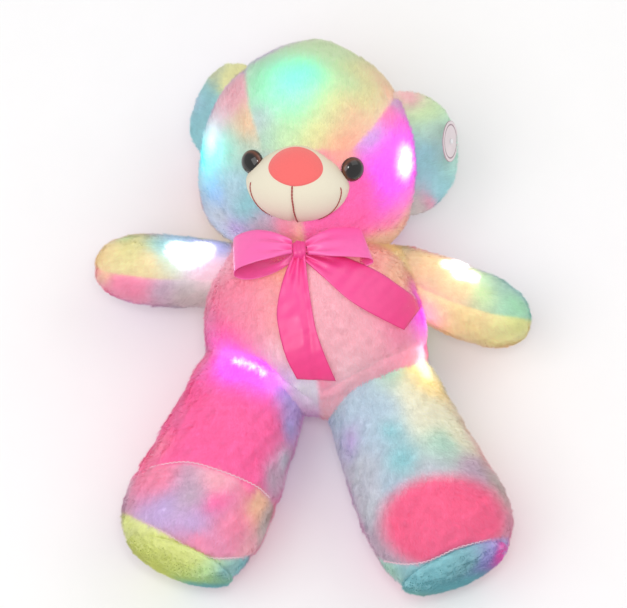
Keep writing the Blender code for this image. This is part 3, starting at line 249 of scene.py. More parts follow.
dyes = {
    "mint": "8ff6cd", "seafoam": "b2ecc0", "celadon": "b6dccb", "moss": "d2ecb4", "lemon": "efe9a4",
    "butter": "fbe0a4", "peach": "f8cba4", "apricot": "fbb292", "coral": "fda9ab",
    "blush": "f9b3c1",
    "petal": "fbccd6", "rose": "fc8bb0", "fuchsia": "fe62a6", "melon": "fd709d", "orchid": "fb78cf",
    "magenta": "f763ea", "lilac": "cfb4e6", "iris": "b3aae2", "sky_blue": "b0cdf8", "ice": "bdd3e2",
    "mist": "cbd0da", "aqua": "93cfd6", "teal": "8ccad2", "pond": "8abfc7", "cyan": "7df6fb",
    "cream": "f6f1d6", "lime": "e2e792", "sand": "c9c79c", "dusk": "cbb0c4", "stone": "c9b8b4",
    "snow": "eef2f4",
}
dye_depth = 0.86
dye_warp = 0.006
dye_fade = 1.8
mixing_power = 2.2
dye_waves = ((61, 0.3), (97, 1.7), (143, 4.1))


def joined(name, bm):
    """A new object in the scene with this mesh."""
    made = in_scene(name, bpy.data.meshes.new(name))
    bm.normal_update()
    bm.to_mesh(made.data)
    bm.free()
    made.data.shade_smooth()
    return made


def read(data, field, width=3):
    values = np.zeros(len(data) * width, np.float32)
    data.foreach_get(field, values)
    return values.reshape(-1, width).astype(float) if width > 1 else values.astype(float)


def write(data, field, values):
    data.foreach_set(field, np.asarray(values, np.float32).ravel())


def note(mesh, name, values):
    """Keeps a value for each point of a mesh, which a material can read."""
    values = np.asarray(values)
    kind, field = ("FLOAT_COLOR", "color") if values.shape[-1] == 4 else ("FLOAT_VECTOR", "vector")
    attribute = mesh.attributes.get(name) or mesh.attributes.new(name, kind, "POINT")
    write(attribute.data, field, values)


def unit(rows):
    return rows / np.linalg.norm(rows, axis=1, keepdims=True)


def coloured(mesh):
    """The dye of each point of a mesh."""
    return read(mesh.attributes["dye"].data, "color", 4)


def placed(item, finish, body, node=None):
    """Gives a piece its finish, the body it moves with and the node it stands for."""
    item.data.materials.append(finish)
    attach(item, body)
    if node:
        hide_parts(node)


def tree_of(*objects):
    bm = bmesh.new()
    for item in objects:
        bm.from_mesh(item.data)
    tree = BVHTree.FromBMesh(bm)
    bm.free()
    return tree


def subdivided(item, levels):
    """The piece with its faces divided smoothly, and that made real."""
    step = item.modifiers.new("smooth", "SUBSURF")
    step.levels = step.render_levels = levels
    bpy.context.view_layer.update()
    evaluated = item.evaluated_get(bpy.context.evaluated_depsgraph_get())
    finer = bpy.data.meshes.new_from_object(evaluated)
    item.modifiers.clear()
    item.data = finer
    finer.shade_smooth()
    return item


def round_mesh(detail):
    """An even round of faces, and the way out of its middle to each of its points."""
    bm = bmesh.new()
    bmesh.ops.create_icosphere(bm, subdivisions=detail, radius=1)
    return bm, [v.co.copy() for v in bm.verts]


far_out = 0.4
smoothings = 2


def drawn_over(name, form, spine, detail=4, closing=6, levels=1):
    """A skin over a form: an even round of faces, drawn in to it from outside towards its spine."""
    low, high = Vector(spine[0]), Vector(spine[1])
    along = high - low
    axis = along.normalized() if along.length else Vector((0, 0, 1))
    bm, ways = round_mesh(detail)
    bm.verts.index_update()
    ways = [way.normalized() for way in ways]
    feet = [low.lerp(high, (1 + way.dot(axis)) / 2) for way in ways]
    reach = []
    for foot, way in zip(feet, ways):
        hit = form.ray_cast(foot + far_out * way, -way)[0]
        reach.append((hit - foot).length if hit else 0.0)
    reach = np.array(reach)
    edges = np.array([[v.index for v in edge.verts] for edge in bm.edges])
    links = np.bincount(edges.ravel(), minlength=len(reach))
    for _ in range(closing):
        total = np.bincount(edges[:, 0], reach[edges[:, 1]], len(reach))
        total += np.bincount(edges[:, 1], reach[edges[:, 0]], len(reach))
        reach = np.maximum(reach, total / links)
    for vertex, foot, way, length in zip(bm.verts, feet, ways, reach):
        vertex.co = foot + float(length) * way
    for _ in range(smoothings):
        bmesh.ops.smooth_vert(
            bm, verts=bm.verts, factor=0.5, use_axis_x=True, use_axis_y=True, use_axis_z=True
        )
    skin = joined(name, bm)
    note(skin.data, "way", ways)
    return subdivided(skin, levels)


def in_photo(points):
    """Where the photograph shows each point, in its pixels."""
    from_camera = points - np.array(camera_place)
    ahead = camera_distance / -(from_camera @ np.array(BACK)) / pixel
    across = photo_middle[0] + (from_camera @ np.array(RIGHT)) * ahead
    down = photo_middle[1] - (from_camera @ np.array(UP)) * ahead
    return across, down


def seen(form, across, down, behind=False):
    """The place on a form, or behind it, that the photograph shows at a pixel."""
    across, down = float(across) - photo_middle[0], photo_middle[1] - float(down)
    aim = camera_target + (across * RIGHT + down * UP) * pixel
    line = (aim - camera_place).normalized()
    hit = form.ray_cast(aim + line, -line)[0] if behind else form.ray_cast(camera_place, line)[0]
    return hit or form.find_nearest(aim)[0]


def spline(points, count):
    """Points in even steps of a smooth curve through the given ones."""
    points = np.array([tuple(p) for p in points], float)
    ends = [2 * points[0] - points[1]], [2 * points[-1] - points[-2]]
    padded = np.concatenate([ends[0], points, ends[1]])
    at = np.linspace(0, len(points) - 1, count)
    n = np.minimum(at.astype(int), len(points) - 2)
    t = (at - n)[:, None]
    a, b, c, d = (padded[n + k] for k in range(4))
    bend, twist = 2 * a - 5 * b + 4 * c - d, 3 * b - a - 3 * c + d
    return 0.5 * (2 * b + (c - a) * t + bend * t**2 + twist * t**3)


def part_way(rows, share):
    """The place a share of the way along even rows."""
    along = share * (len(rows) - 1)
    n = min(int(along), len(rows) - 2)
    return rows[n] * (1 - (along - n)) + rows[n + 1] * (along - n)


def sewn_line(form, route, behind=False):
    """A sewn line along a form, through pixels of the photograph."""
    return [seen(form, x, y, behind) for x, y in spline(route, 12 * len(route))]


def nearness(points, lines, width):
    """How near each point is to the sewn lines, from 0 to 1 on them."""
    if not lines:
        return np.zeros(len(points))
    along = [Vector(p) for line in lines for p in spline(line, 6 * len(line))]
    tree = KDTree(len(along))
    for n, place in enumerate(along):
        tree.insert(place, n)
    tree.balance()
    away = np.array([tree.find(p)[2] for p in points])
    return np.exp(-((away / width) ** 2))


def dyed(points, places, patches):
    """The colour of each point: soft patches of dye, each (dye, its place, how far it reaches)."""
    rolled = points[:, [1, 2, 0]]
    wave = sum(np.sin(rolled * k + shift) / len(dye_waves) for k, shift in dye_waves)
    warped = points + dye_warp * wave
    weights = []
    for (dye, *_, reach), place in zip(patches, places):
        away = np.linalg.norm(warped - np.array(place), axis=1)
        weights.append(np.exp(-dye_fade * away / reach))
    weights = np.array(weights).T
    colours = np.array([linear(dyes[patch[0]]) for patch in patches]) ** (1 / mixing_power)
    return (weights @ colours / weights.sum(1, keepdims=True)) ** (mixing_power * dye_depth)


def beyond(distance, width=1.6):
    """A soft step from 0 to 1 where a distance in the photograph's pixels passes zero."""
    return 1 / (1 + np.exp(-np.clip(distance * 2 / width, -30, 30)))


def across_at(route, down):
    """How far across the photograph a route runs at each height, in its pixels."""
    return np.interp(down, [y for x, y in route], [x for x, y in route])


def past(route, across, down):
    """How far each place is below a line across the photograph, in its pixels."""
    return down - np.interp(across, [x for x, y in route], [y for x, y in route])


def dye_skin(skin, form, panels, over=1.0):
    """Dyes a skin, panel by panel, later panels over earlier ones and over any earlier dye.

    A panel is its share of each point and its patches of dye. A patch is its dye, its pixel across
    and down, and its reach in mm, which is negative where the patch is on the far side.
    """
    points = read(skin.data.vertices, "co")
    colour = np.ones((len(points), 4)) * over
    for share, group in panels:
        places = [seen(form, x, y, behind=reach < 0) for dye, x, y, reach in group]
        group = [(dye, abs(reach) / 1000) for dye, x, y, reach in group]
        share = np.reshape(share, (-1, 1))
        colour = colour * (1 - share) + share * dyed(points, places, group)
    colour[:, 3] = 1
    note(skin.data, "dye", colour)


# Each lamp: its body, the colour of its light, the strength and reach of the bright middle, and
# the strength and reach of the halo that spreads in the stuffing
lamp_lights = {
    "led_forehead": ("3cffd8", 0.0, 0.010, 0.42, 0.024),
    "led_cheek_left": ("33ffff", 0.30, 0.010, 0.55, 0.024),
    "led_cheek_right": ("ff30ff", 2.2, 0.0125, 0.42, 0.034),
    "led_arm_left": ("b8dcff", 1.6, 0.0100, 0.30, 0.022),
    "led_arm_right": ("ffffb4", 1.4, 0.0072, 0.30, 0.020),
    "led_chest_right": ("ff30ff", 0.3, 0.008, 0.40, 0.017),
    "led_hip_left": ("ff28ff", 1.0, 0.0024, 0.66, 0.018),
    "led_hip_right": ("fff2a8", 0.40, 0.0095, 0.34, 0.019),
}
# The lamps of the hips and arms lie deep, and their light comes out along creases, at these pixels
crease_lights = {
    "led_arm_left": ((180, 250), (187, 255), (196, 252), (203, 249)),
    "led_arm_right": ((448, 265), (456, 265), (464, 264), (472, 265)),
    "led_hip_left": ((236, 360), (246, 362), (256, 367), (264, 373)),
    "led_hip_right": ((415, 352), (420, 361), (423, 370)),
}
crease_steps = 16
# A faint painted glow in each point's own colour, over the whole plush, lifts it where its fibres
# shade one another
painted_plush_glow = 0.16
lamp_depth = 0.006
stuffed = ("torso_body", "leg_left", "leg_right", "arm_left", "arm_right")
body_form = tree_of(*(nodes[name] for name in stuffed))
light_places = {lamp: [(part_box(lamp)[0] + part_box(lamp)[1]) / 2] for lamp in lamp_lights}
for lamp, route in crease_lights.items():
    light_places[lamp] = [seen(body_form, x, y) for x, y in spline(route, crease_steps)]


def light_skin(skin, share=1.0, lamps=tuple(lamp_lights)):
    """Gives each point of a skin the lamps' light as it reaches it, over a painted glow in its own
    colour.
    """
    points = read(skin.data.vertices, "co")
    light = painted_plush_glow * share * coloured(skin.data)
    for lamp in lamps:
        colour, core, core_reach, halo, halo_reach = lamp_lights[lamp]
        spots = [np.linalg.norm(points - np.array(place), axis=1) for place in light_places[lamp]]
        depth = 0 if lamp in crease_lights else lamp_depth
        near = np.maximum(np.min(spots, axis=0) - depth, 0)
        light += core * np.exp(-((near / core_reach) ** 4))[:, None]
        light += halo * np.exp(-((near / halo_reach) ** 2))[:, None] * np.array(linear(colour))
    light[:, 3] = 1
    note(skin.data, "glow", light)


# The lumps of the stuffing, as waves across a skin, and the least height of a skin's points
broad_lumps = ((190, 60, 90), (-80, 170, 120), (60, -150, 210))
fine_lumps = ((430, -210, 160), (-260, 380, 310))
fine_share = 0.35
least_height = 0.0006


def pulled_in(skin, lines, depth=0.0022, width=0.0032, lumps=0.0007):
    """Draws a skin in along its sewn lines, and lets the stuffing show as soft lumps."""
    points = read(skin.data.vertices, "co")
    normals = read(skin.data.vertices, "normal")
    near = nearness(points, lines, width)
    lump = sum(np.sin(points @ np.array(wave)) for wave in broad_lumps) / len(broad_lumps)
    lump += fine_share * sum(np.sin(points @ np.array(wave)) for wave in fine_lumps)
    points -= normals * (depth * near - lumps * lump)[:, None]
    points[:, 2] = np.maximum(points[:, 2], least_height)
    write(skin.data.vertices, "co", points)
    skin.data.update()
    note(skin.data, "sewn", np.stack([near] * 3, 1))


map_reach = 0.235


def atlas(ways, face_ways):
    """A flat map of a round skin: its front half on the left and its back half on the right."""
    side = np.where(face_ways[:, 2] >= 0, 1.0, -1.0)
    spread = np.sqrt(1 / np.maximum(1 + side * ways[:, 2], 0.05))
    across = 0.5 - 0.25 * side + map_reach * spread * ways[:, 0]
    return np.stack([across, 0.5 + 2 * map_reach * spread * ways[:, 1]], 1)


def map_skin(skin):
    mesh = skin.data
    ways = unit(read(mesh.attributes["way"].data, "vector"))
    corner = read(mesh.loops, "vertex_index", 1).astype(int)
    size = read(mesh.polygons, "loop_total", 1).astype(int)
    face = np.repeat(np.arange(len(size)), size)
    middle = np.stack([np.bincount(face, ways[corner, k], len(size)) for k in range(3)], 1)
    layer = mesh.uv_layers.new(name="OFBake")
    write(layer.data, "uv", atlas(ways[corner], middle[face]))


# The fibres: their size, the shares of it that they grow to, and their leans in radians
pile_length, pile_width = 0.0055, 0.00060
pile_lengths, pile_leans = (0.6, 1.15), (0.85, 1.3)
over_skin, above_floor = 0.0006, 0.0002
flattened_at_seams = 0.75
# How the combing strays and swirls. Each swirl is its wave, its shift and its share
pile_stray, swirl_turn = 0.6, 0.5
swirls = (((130, 95, 115), 0, 0.55), ((-75, 165, 45), 2, 0.45))
# The tufts: their size, and how far their fibres lean in, stray over and shift
tuft_size = 0.0052
tuft_pull, tuft_stray, tuft_shift = 0.42, 0.22, 0.16
cells_across = 400
# How light and how soft the fibres look, and the size of each one on the flat map
fibre_tints, tuft_tints = (0.92, 1.06), (0.93, 1.06)
stem_tint, tip_tint, tip_lift = 0.96, 1.04, 0.025
shade_lie, shade_stray = 0.22, 45
map_speck = 0.0009


def pile(skin, name, count, combed, seed, keep):
    """The pile of a plush skin: loose fibres, each one tapered face, leaning as they are combed."""
    mesh = skin.data
    mesh.calc_loop_triangles()
    rng = np.random.default_rng(seed)
    corners = read(mesh.loop_triangles, "vertices").astype(int)
    points, normals = read(mesh.vertices, "co"), read(mesh.vertices, "normal")
    a, b, c = (points[corners[:, k]] for k in range(3))
    area = np.linalg.norm(np.cross(b - a, c - a), axis=1)
    if keep is not None:
        area = area * keep(a)
    chosen = np.sort(rng.choice(len(area), count, p=area / area.sum()))
    u, v = rng.random((2, count))
    u, v = np.where(u + v > 1, 1 - u, u), np.where(u + v > 1, 1 - v, v)
    share = np.stack([1 - u - v, u, v], 1)

    def at_root(values):
        return (values[corners[chosen]] * share[:, :, None]).sum(1)

    root, normal = at_root(points), unit(at_root(normals))
    colour = at_root(coloured(mesh))
    light = at_root(read(mesh.attributes["glow"].data, "color", 4))
    near = at_root(read(mesh.attributes["sewn"].data, "vector"))[:, 0]
    way = unit(at_root(read(mesh.attributes["way"].data, "vector")))
    combed = np.array(combed, float)
    lie = combed - (normal @ combed)[:, None] * normal
    lie /= np.maximum(np.linalg.norm(lie, axis=1, keepdims=True), 1e-3)
    sideways = np.cross(normal, lie)
    swirl = sum(share * np.sin(root @ np.array(wave) + shift) for wave, shift, share in swirls)
    turn = (swirl_turn * swirl + rng.normal(0, pile_stray, count))[:, None]
    lie = np.cos(turn) * lie + np.sin(turn) * sideways
    lean = rng.uniform(*pile_leans, count)[:, None]
    long = pile_length * rng.uniform(*pile_lengths, count) * (1 - flattened_at_seams * near)
    long = long[:, None]
    across = np.cross(normal, lie)
    tip = root + long * (np.cos(lean) * normal + np.sin(lean) * lie)
    # Fibres that start close together lean in to one another as a tuft
    cell = (root + rng.normal(0, tuft_stray * tuft_size, (count, 3))) / tuft_size
    cell = np.floor(cell).astype(int) + cells_across // 2
    cell, tuft = np.unique(cell @ (cells_across ** np.arange(3)), return_inverse=True)
    size = np.bincount(tuft)
    gathered = np.stack([np.bincount(tuft, tip[:, k]) / size for k in range(3)], 1)
    shift = rng.normal(0, tuft_shift * pile_length, (len(size), 3))
    pull = (tuft_pull * (1 - near))[:, None]
    tip = tip * (1 - pull) + (gathered + shift)[tuft] * pull
    under = np.minimum(((tip - root) * normal).sum(1) - over_skin, 0)[:, None]
    tip -= under * normal
    tip[:, 2] = np.maximum(tip[:, 2], above_floor)
    half = pile_width / 2 * across
    fibre = np.stack([root + half, root - half, tip], 1).reshape(-1, 3)
    fibres = bpy.data.meshes.new(name)
    fibres.vertices.add(3 * count)
    write(fibres.vertices, "co", fibre)
    fibres.loops.add(3 * count)
    fibres.loops.foreach_set("vertex_index", np.arange(3 * count))
    fibres.polygons.add(count)
    fibres.polygons.foreach_set("loop_start", np.arange(0, 3 * count, 3))
    fibres.update()
    bright = rng.uniform(*fibre_tints, count) * rng.uniform(*tuft_tints, len(size))[tuft]
    bright = bright[:, None]
    stem = np.clip(colour * bright * stem_tint, 0, 1)
    end = np.clip(colour * bright * tip_tint + tip_lift, 0, 1)
    note(fibres, "dye", np.stack([stem, stem, end], 1).reshape(-1, 4))
    note(fibres, "glow", np.repeat(light, 3, axis=0))
    flat = atlas(way, way)
    corner_ways = np.array(((-1, -1), (1, -1), (0, 1)))
    spread = flat[:, None] + map_speck * corner_ways
    write(fibres.uv_layers.new(name="OFBake").data, "uv", spread)
    stray = tip - root - long * normal * np.cos(lean)
    soft = unit(normal + shade_lie * lie + shade_stray * stray)
    fibres.shade_smooth()
    fibres.normals_split_custom_set_from_vertices(np.repeat(soft, 3, axis=0).astype(np.float32))
    fibres.materials.append(plush_fibre)
    return in_scene(name, fibres)


def plush_look(m, shade_low, shade_more):
    dye = kept(m, "dye")
    glow = kept(m, "glow")
    tuft = noise(m, 520, 4.0)
    return {"Base Color": dye.scaled(shade_low + shade_more * tuft), "Emission Color": glow}


def backing_look(m):
    nap = noise(m, 900, 4.0)
    return {**plush_look(m, 0.80, 0.25), "Normal": bump(m, nap, 0.0008)}


plush_fixed = {
    "Roughness": 0.9, "Sheen_Weight": 0.25, "Sheen_Roughness": 0.5, "Emission_Strength": 1.0,
}
plush_backing = material("plush_backing", backing_look, **plush_fixed)
plush_fibre = material("plush_fibre", lambda m: plush_look(m, 0.94, 0.12), **plush_fixed)


def finish_skin(
    skin, pile_name, body, node, *, count, combed, seed, other=None, keep=None,
    lamps=tuple(lamp_lights),
):
    """Gives a dyed skin its light, its map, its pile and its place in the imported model."""
    light_skin(skin, lamps=lamps)
    map_skin(skin)
    skin.data.materials.append(plush_backing)
    fibres = pile(skin, pile_name, count, combed, seed, keep)
    for piece in (skin, fibres):
        if other:
            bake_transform(piece)
        else:
            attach(piece, body)
    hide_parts(node)


joints = {joint["name"]: joint for joint in frame["joints"]}
pivots = {name: Vector(joints[name]["pos_m"]) for name in joints if "swing" in name}
body_across = 0.004
hips_down = -0.0447
shoulder_ball = 0.0255
hip_ball = 0.0468
groove_low, groove_high, groove_half, groove_top = 0.0295, 0.092, 0.009, 0.0083
groove_margin = 0.002

bm = bmesh.new()
bm.from_mesh(nodes["torso_body"].data)
for name, place in pivots.items():
    ball = hip_ball if "leg" in name else shoulder_ball
    at = Matrix.Translation(place)
    bmesh.ops.create_icosphere(bm, subdivisions=3, radius=ball, matrix=at)
trunk_form = BVHTree.FromBMesh(bm)
bm.free()
trunk_spine = ((body_across, -0.030, 0.068), (body_across, 0.050, 0.072))
trunk = drawn_over("trunk_skin", trunk_form, trunk_spine, detail=5, closing=14)
trunk_form = tree_of(trunk)
front_seam = ((303, 262), (304, 290), (309, 330), (314, 365), (319, 392))
hip_seams = (
    ((205, 352), (215, 350), (248, 358), (279, 377), (306, 399)),
    ((325, 392), (352, 377), (386, 359), (420, 347), (434, 345)),
)
lines = [sewn_line(trunk_form, route) for route in (front_seam, *hip_seams)]
pulled_in(trunk, lines)
points = read(trunk.data.vertices, "co")
in_groove = (np.abs(points[:, 0] - body_across) < groove_half) & (points[:, 2] < groove_top)
in_groove &= (points[:, 1] > hips_down + groove_low) & (points[:, 1] < hips_down + groove_high)
points[in_groove, 2] = groove_top
write(trunk.data.vertices, "co", points)
trunk_form = tree_of(trunk)
trunk_patches = (
    (
        ("blush", 225, 265, 20), ("rose", 248, 300, 26), ("fuchsia", 226, 332, 16),
        ("orchid", 222, 352, 16), ("coral", 268, 290, 20), ("coral", 277, 322, 20),
        ("petal", 272, 350, 16), ("apricot", 285, 270, 14), ("lilac", 287, 378, 14),
        ("snow", 300, 385, 12), ("magenta", 258, 366, 14), ("peach", 293, 330, 10),
        ("rose", 240, 300, -40), ("lemon", 290, 280, -30), ("lilac", 250, 360, -34),
    ),
    (
        ("blush", 325, 300, 22), ("blush", 335, 335, 22), ("blush", 352, 330, 20),
        ("blush", 372, 342, 22), ("petal", 350, 362, 18), ("rose", 326, 376, 12),
        ("butter", 402, 256, 15), ("peach", 392, 272, 14), ("coral", 374, 268, 18),
        ("rose", 392, 330, 20), ("magenta", 424, 322, 16), ("rose", 425, 345, 16),
        ("mint", 372, 330, -24), ("blush", 340, 350, -30), ("peach", 392, 280, -24),
        ("lilac", 330, 290, -24),
    ),
)
across, down = in_photo(points)
right_half = beyond(across - across_at(front_seam, down))
dye_skin(trunk, trunk_form, ((1.0, trunk_patches[0]), (right_half, trunk_patches[1])))


def outside_groove(places):
    beside = np.abs(places[:, 0] - body_across) < groove_half + groove_margin
    under = places[:, 2] < groove_top + groove_margin / 2
    return 1.0 - (beside & under & (places[:, 1] > hips_down + groove_low - groove_margin))


finish_skin(
    trunk, "trunk_pile", "trunk", "torso_body",
    count=150000, combed=(0.1, -1, -0.1), seed=2, keep=outside_groove,
)

# The head: a broad forehead panel between two side panels, stuffed tight and sewn to the neck.
# The forehead panel runs from the nose up over the peak, and its two seams show as soft creases.

head_form = tree_of(nodes["head"])
head_centre = Vector(joints["head_turn"]["pos_m"])
head = drawn_over("head_skin", head_form, (head_centre, head_centre), detail=5, closing=10)
head_form = tree_of(head)
head_middle = 303
left_panel_top, right_panel_top, panel_foot = 66, 80, 152
left_panel_seam = ((240, 62), (245, 75), (247, 92), (250, 110), (256, 130), (262, 150))
right_panel_seam = ((404, 78), (400, 90), (389, 106), (375, 125), (363, 138), (352, 150))
lines = [sewn_line(head_form, left_panel_seam), sewn_line(head_form, right_panel_seam)]
lines.append(sewn_line(head_form, ((240, 62), (262, 90), (300, 120), (320, 200)), behind=True))
lines.append(sewn_line(head_form, ((404, 78), (390, 100), (345, 130), (320, 200)), behind=True))
pulled_in(head, lines, lumps=0.0005)
head_patches = (
    (
        ("mint", 288, 84, 17), ("seafoam", 262, 92, 18), ("mist", 260, 124, 16),
        ("seafoam", 292, 112, 20), ("moss", 285, 137, 18), ("moss", 330, 58, 22),
        ("mint", 308, 74, 14), ("lemon", 332, 108, 18), ("moss", 346, 86, 14),
        ("peach", 352, 120, 16), ("lemon", 368, 84, 20), ("peach", 393, 86, 16),
        ("apricot", 346, 146, 16), ("lemon", 318, 136, 16), ("lemon", 362, 104, 12),
        ("celadon", 270, 146, 12), ("lilac", 290, 70, -26), ("lemon", 340, 80, -24),
        ("rose", 320, 120, -26),
    ),
    (
        ("blush", 222, 108, 17), ("blush", 236, 98, 14), ("peach", 248, 124, 14),
        ("cyan", 205, 156, 13), ("celadon", 236, 152, 16), ("sky_blue", 214, 190, 15),
        ("ice", 234, 182, 14), ("aqua", 246, 202, 14), ("mist", 222, 216, 14),
        ("lilac", 240, 226, 12), ("dusk", 262, 228, 12), ("rose", 284, 231, 9),
        ("peach", 300, 240, 10), ("ice", 206, 175, 10), ("petal", 212, 130, 12),
        ("sky_blue", 230, 110, -24), ("rose", 225, 170, -24), ("lemon", 260, 220, -26),
        ("aqua", 270, 160, -24),
    ),
    (
        ("dusk", 396, 94, 9), ("blush", 366, 126, 10), ("rose", 386, 112, 11),
        ("orchid", 401, 124, 12), ("lilac", 374, 140, 12), ("magenta", 388, 152, 12),
        ("magenta", 408, 150, 14), ("magenta", 380, 172, 14), ("magenta", 382, 194, 14),
        ("orchid", 402, 200, 12), ("rose", 392, 216, 11), ("fuchsia", 368, 214, 13),
        ("fuchsia", 362, 190, 12), ("peach", 396, 232, 12), ("peach", 378, 242, 14),
        ("apricot", 350, 160, 8), ("lilac", 395, 110, -24), ("mint", 380, 160, -26),
        ("orchid", 360, 220, -26),
    ),
)
points = read(head.data.vertices, "co")
across, down = in_photo(points)
below_nose = beyond(down - panel_foot)
left_share = beyond(across_at(left_panel_seam, down) - across) * beyond(down - left_panel_top)
left_share = np.maximum(left_share, beyond(head_middle - across) * below_nose)
right_share = beyond(across - across_at(right_panel_seam, down)) * beyond(down - right_panel_top)
right_share = np.maximum(right_share, beyond(across - head_middle) * below_nose)
dye_skin(head, head_form, list(zip((1.0, left_share, right_share), head_patches)))
finish_skin(
    head, "head_pile", "head_group", "head",
    count=170000, combed=(0.1, 1, 0.1), seed=3,
)

# The arms: tubes of two panels, sewn along the side, closed round the hand and set into the trunk.
# The upper and lower panels were dyed apart, so that the colour changes at the seam.


def limb_skin(name, spine):
    """The skin of an arm or a leg, and its form."""
    skin = drawn_over(f"{name}_skin", tree_of(nodes[name]), spine, levels=2)
    return skin, tree_of(skin)


arm_sides = {
    "left": {
        "spine": ((-0.070, 0.0425, 0.058), (-0.158, 0.049, 0.058)),
        "seam": ((94, 264), (103, 271), (125, 275), (150, 278), (172, 279), (214, 280)),
        "blend": ((-0.072, 0.042, 0.058), (-0.104, 0.045, 0.058)),
        "upper": (
            ("butter", 108, 248, 13), ("lemon", 130, 250, 18), ("butter", 148, 264, 13),
            ("celadon", 163, 250, 11), ("aqua", 166, 236, 10), ("ice", 180, 238, 12),
            ("iris", 207, 246, 13), ("moss", 128, 238, 9), ("petal", 208, 268, 10),
            ("rose", 130, 255, -20), ("ice", 170, 255, -20), ("lemon", 205, 260, -20),
        ),
        "lower": (
            ("peach", 106, 272, 8), ("rose", 118, 286, 14), ("rose", 142, 288, 14),
            ("dusk", 165, 292, 13), ("stone", 188, 294, 13), ("stone", 205, 292, 12),
            ("petal", 208, 280, 9), ("lilac", 150, 285, -18), ("mist", 195, 285, -18),
        ),
    },
    "right": {
        "spine": ((0.078, 0.0415, 0.058), (0.158, 0.0065, 0.058)),
        "seam": ((392, 262), (398, 270), (423, 289), (455, 303), (490, 313), (524, 318)),
        "blend": ((0.080, 0.0405, 0.058), (0.110, 0.0275, 0.058)),
        "upper": (
            ("sand", 402, 248, 12), ("butter", 418, 254, 14), ("peach", 424, 268, 12),
            ("moss", 470, 262, 12), ("celadon", 486, 270, 12), ("celadon", 502, 288, 13),
            ("seafoam", 516, 304, 11), ("peach", 464, 290, 12), ("peach", 446, 288, 10),
            ("moss", 484, 296, 10), ("aqua", 500, 290, -20), ("lilac", 460, 270, -20),
            ("rose", 420, 260, -20),
        ),
        "lower": (
            ("lemon", 500, 324, 12), ("butter", 484, 318, 12), ("butter", 452, 306, 14),
            ("butter", 430, 294, 12), ("apricot", 408, 278, 12), ("lime", 514, 316, 10),
            ("peach", 470, 312, -20), ("lemon", 420, 290, -20),
        ),
    },
}
for side, arm in arm_sides.items():
    name = f"arm_{side}"
    skin, form = limb_skin(name, arm["spine"])
    pulled_in(skin, [sewn_line(form, arm["seam"])], depth=0.0016, lumps=0.0007)
    across, down = in_photo(read(skin.data.vertices, "co"))
    under_seam = beyond(past(arm["seam"], across, down))
    dye_skin(skin, form, ((1.0, arm["upper"]), (under_seam, arm["lower"])))
    finish_skin(
        skin, f"{name}_pile", "trunk", name,
        count=70000, combed=(-0.6 if side == "left" else 0.6, -0.6, 0), seed=4 + len(side),
        other=(f"{name}_group", *arm["blend"]),
    )

# The legs: wide tubes of plush with a toe panel sewn across the top of the left foot, and a round
# patch of strong pink dye on the toe of the right one. They are set into the trunk at the hips.

leg_sides = {
    "left": {
        "slot": "rose_plush",
        "spine": ((-0.052, -0.050, 0.050), (-0.106, -0.190, 0.056)),
        "toe_seam": (
            (118, 492), (138, 476), (152, 467), (187, 462), (224, 472), (256, 486), (270, 498),
            (290, 520),
        ),
        "sole_seam": (
            (112, 500), (122, 511), (144, 522), (166, 533), (194, 551), (214, 558), (244, 557),
            (262, 552),
        ),
        "blend": ((-0.046, -0.034, 0.0495), (-0.060, -0.068, 0.0495)),
        "upper": (
            ("magenta", 236, 376, 14), ("orchid", 222, 366, 12), ("fuchsia", 208, 400, 24),
            ("fuchsia", 250, 408, 22), ("fuchsia", 200, 440, 24), ("fuchsia", 240, 440, 22),
            ("iris", 288, 398, 12), ("lilac", 300, 402, 10), ("iris", 290, 424, 9),
            ("fuchsia", 270, 436, 12), ("fuchsia", 178, 460, 14), ("fuchsia", 224, 462, 14),
            ("mist", 284, 458, 9), ("dusk", 276, 478, 9), ("rose", 160, 450, 12),
            ("fuchsia", 200, 420, -30), ("lilac", 250, 430, -28), ("rose", 230, 380, -30),
        ),
        "lower": (
            ("rose", 158, 480, 12), ("dusk", 190, 492, 12), ("fuchsia", 216, 498, 9),
            ("fuchsia", 250, 490, 7), ("lilac", 200, 520, 16), ("lilac", 168, 506, 12),
            ("rose", 232, 528, 14), ("peach", 256, 505, 11), ("stone", 268, 520, 9),
            ("blush", 246, 545, 10), ("rose", 132, 495, 8), ("blush", 215, 482, 10),
            ("rose", 200, 540, 12), ("dusk", 180, 530, -30), ("rose", 230, 500, -30),
        ),
    },
    "right": {
        "slot": "sky_plush",
        "spine": ((0.060, -0.057, 0.050), (0.114, -0.197, 0.056)),
        "toe_seam": None,
        "sole_seam": (
            (370, 548), (384, 561), (405, 564), (424, 562), (440, 556), (457, 548), (491, 539),
            (520, 537),
        ),
        "blend": ((0.054, -0.041, 0.0495), (0.068, -0.075, 0.0495)),
        "upper": (
            ("mist", 340, 390, 14), ("ice", 362, 382, 14), ("celadon", 392, 372, 12),
            ("butter", 414, 370, 12), ("ice", 350, 412, 16), ("ice", 382, 412, 14),
            ("cream", 413, 398, 13), ("cream", 430, 416, 15), ("butter", 428, 386, 11),
            ("ice", 368, 440, 16), ("aqua", 390, 432, 8), ("celadon", 440, 446, 12),
            ("aqua", 402, 458, 9), ("mist", 360, 470, 14), ("mist", 430, 468, 12),
            ("dusk", 470, 474, 10), ("cream", 455, 440, 11), ("mist", 370, 510, 14),
            ("dusk", 380, 545, 12), ("dusk", 500, 545, 10), ("lilac", 352, 440, 10),
            ("stone", 495, 490, 10), ("ice", 390, 488, 8), ("sky_blue", 380, 420, -30),
            ("lemon", 420, 460, -30), ("rose", 440, 520, -34), ("lilac", 400, 500, -30),
        ),
        "lower": (),
    },
}
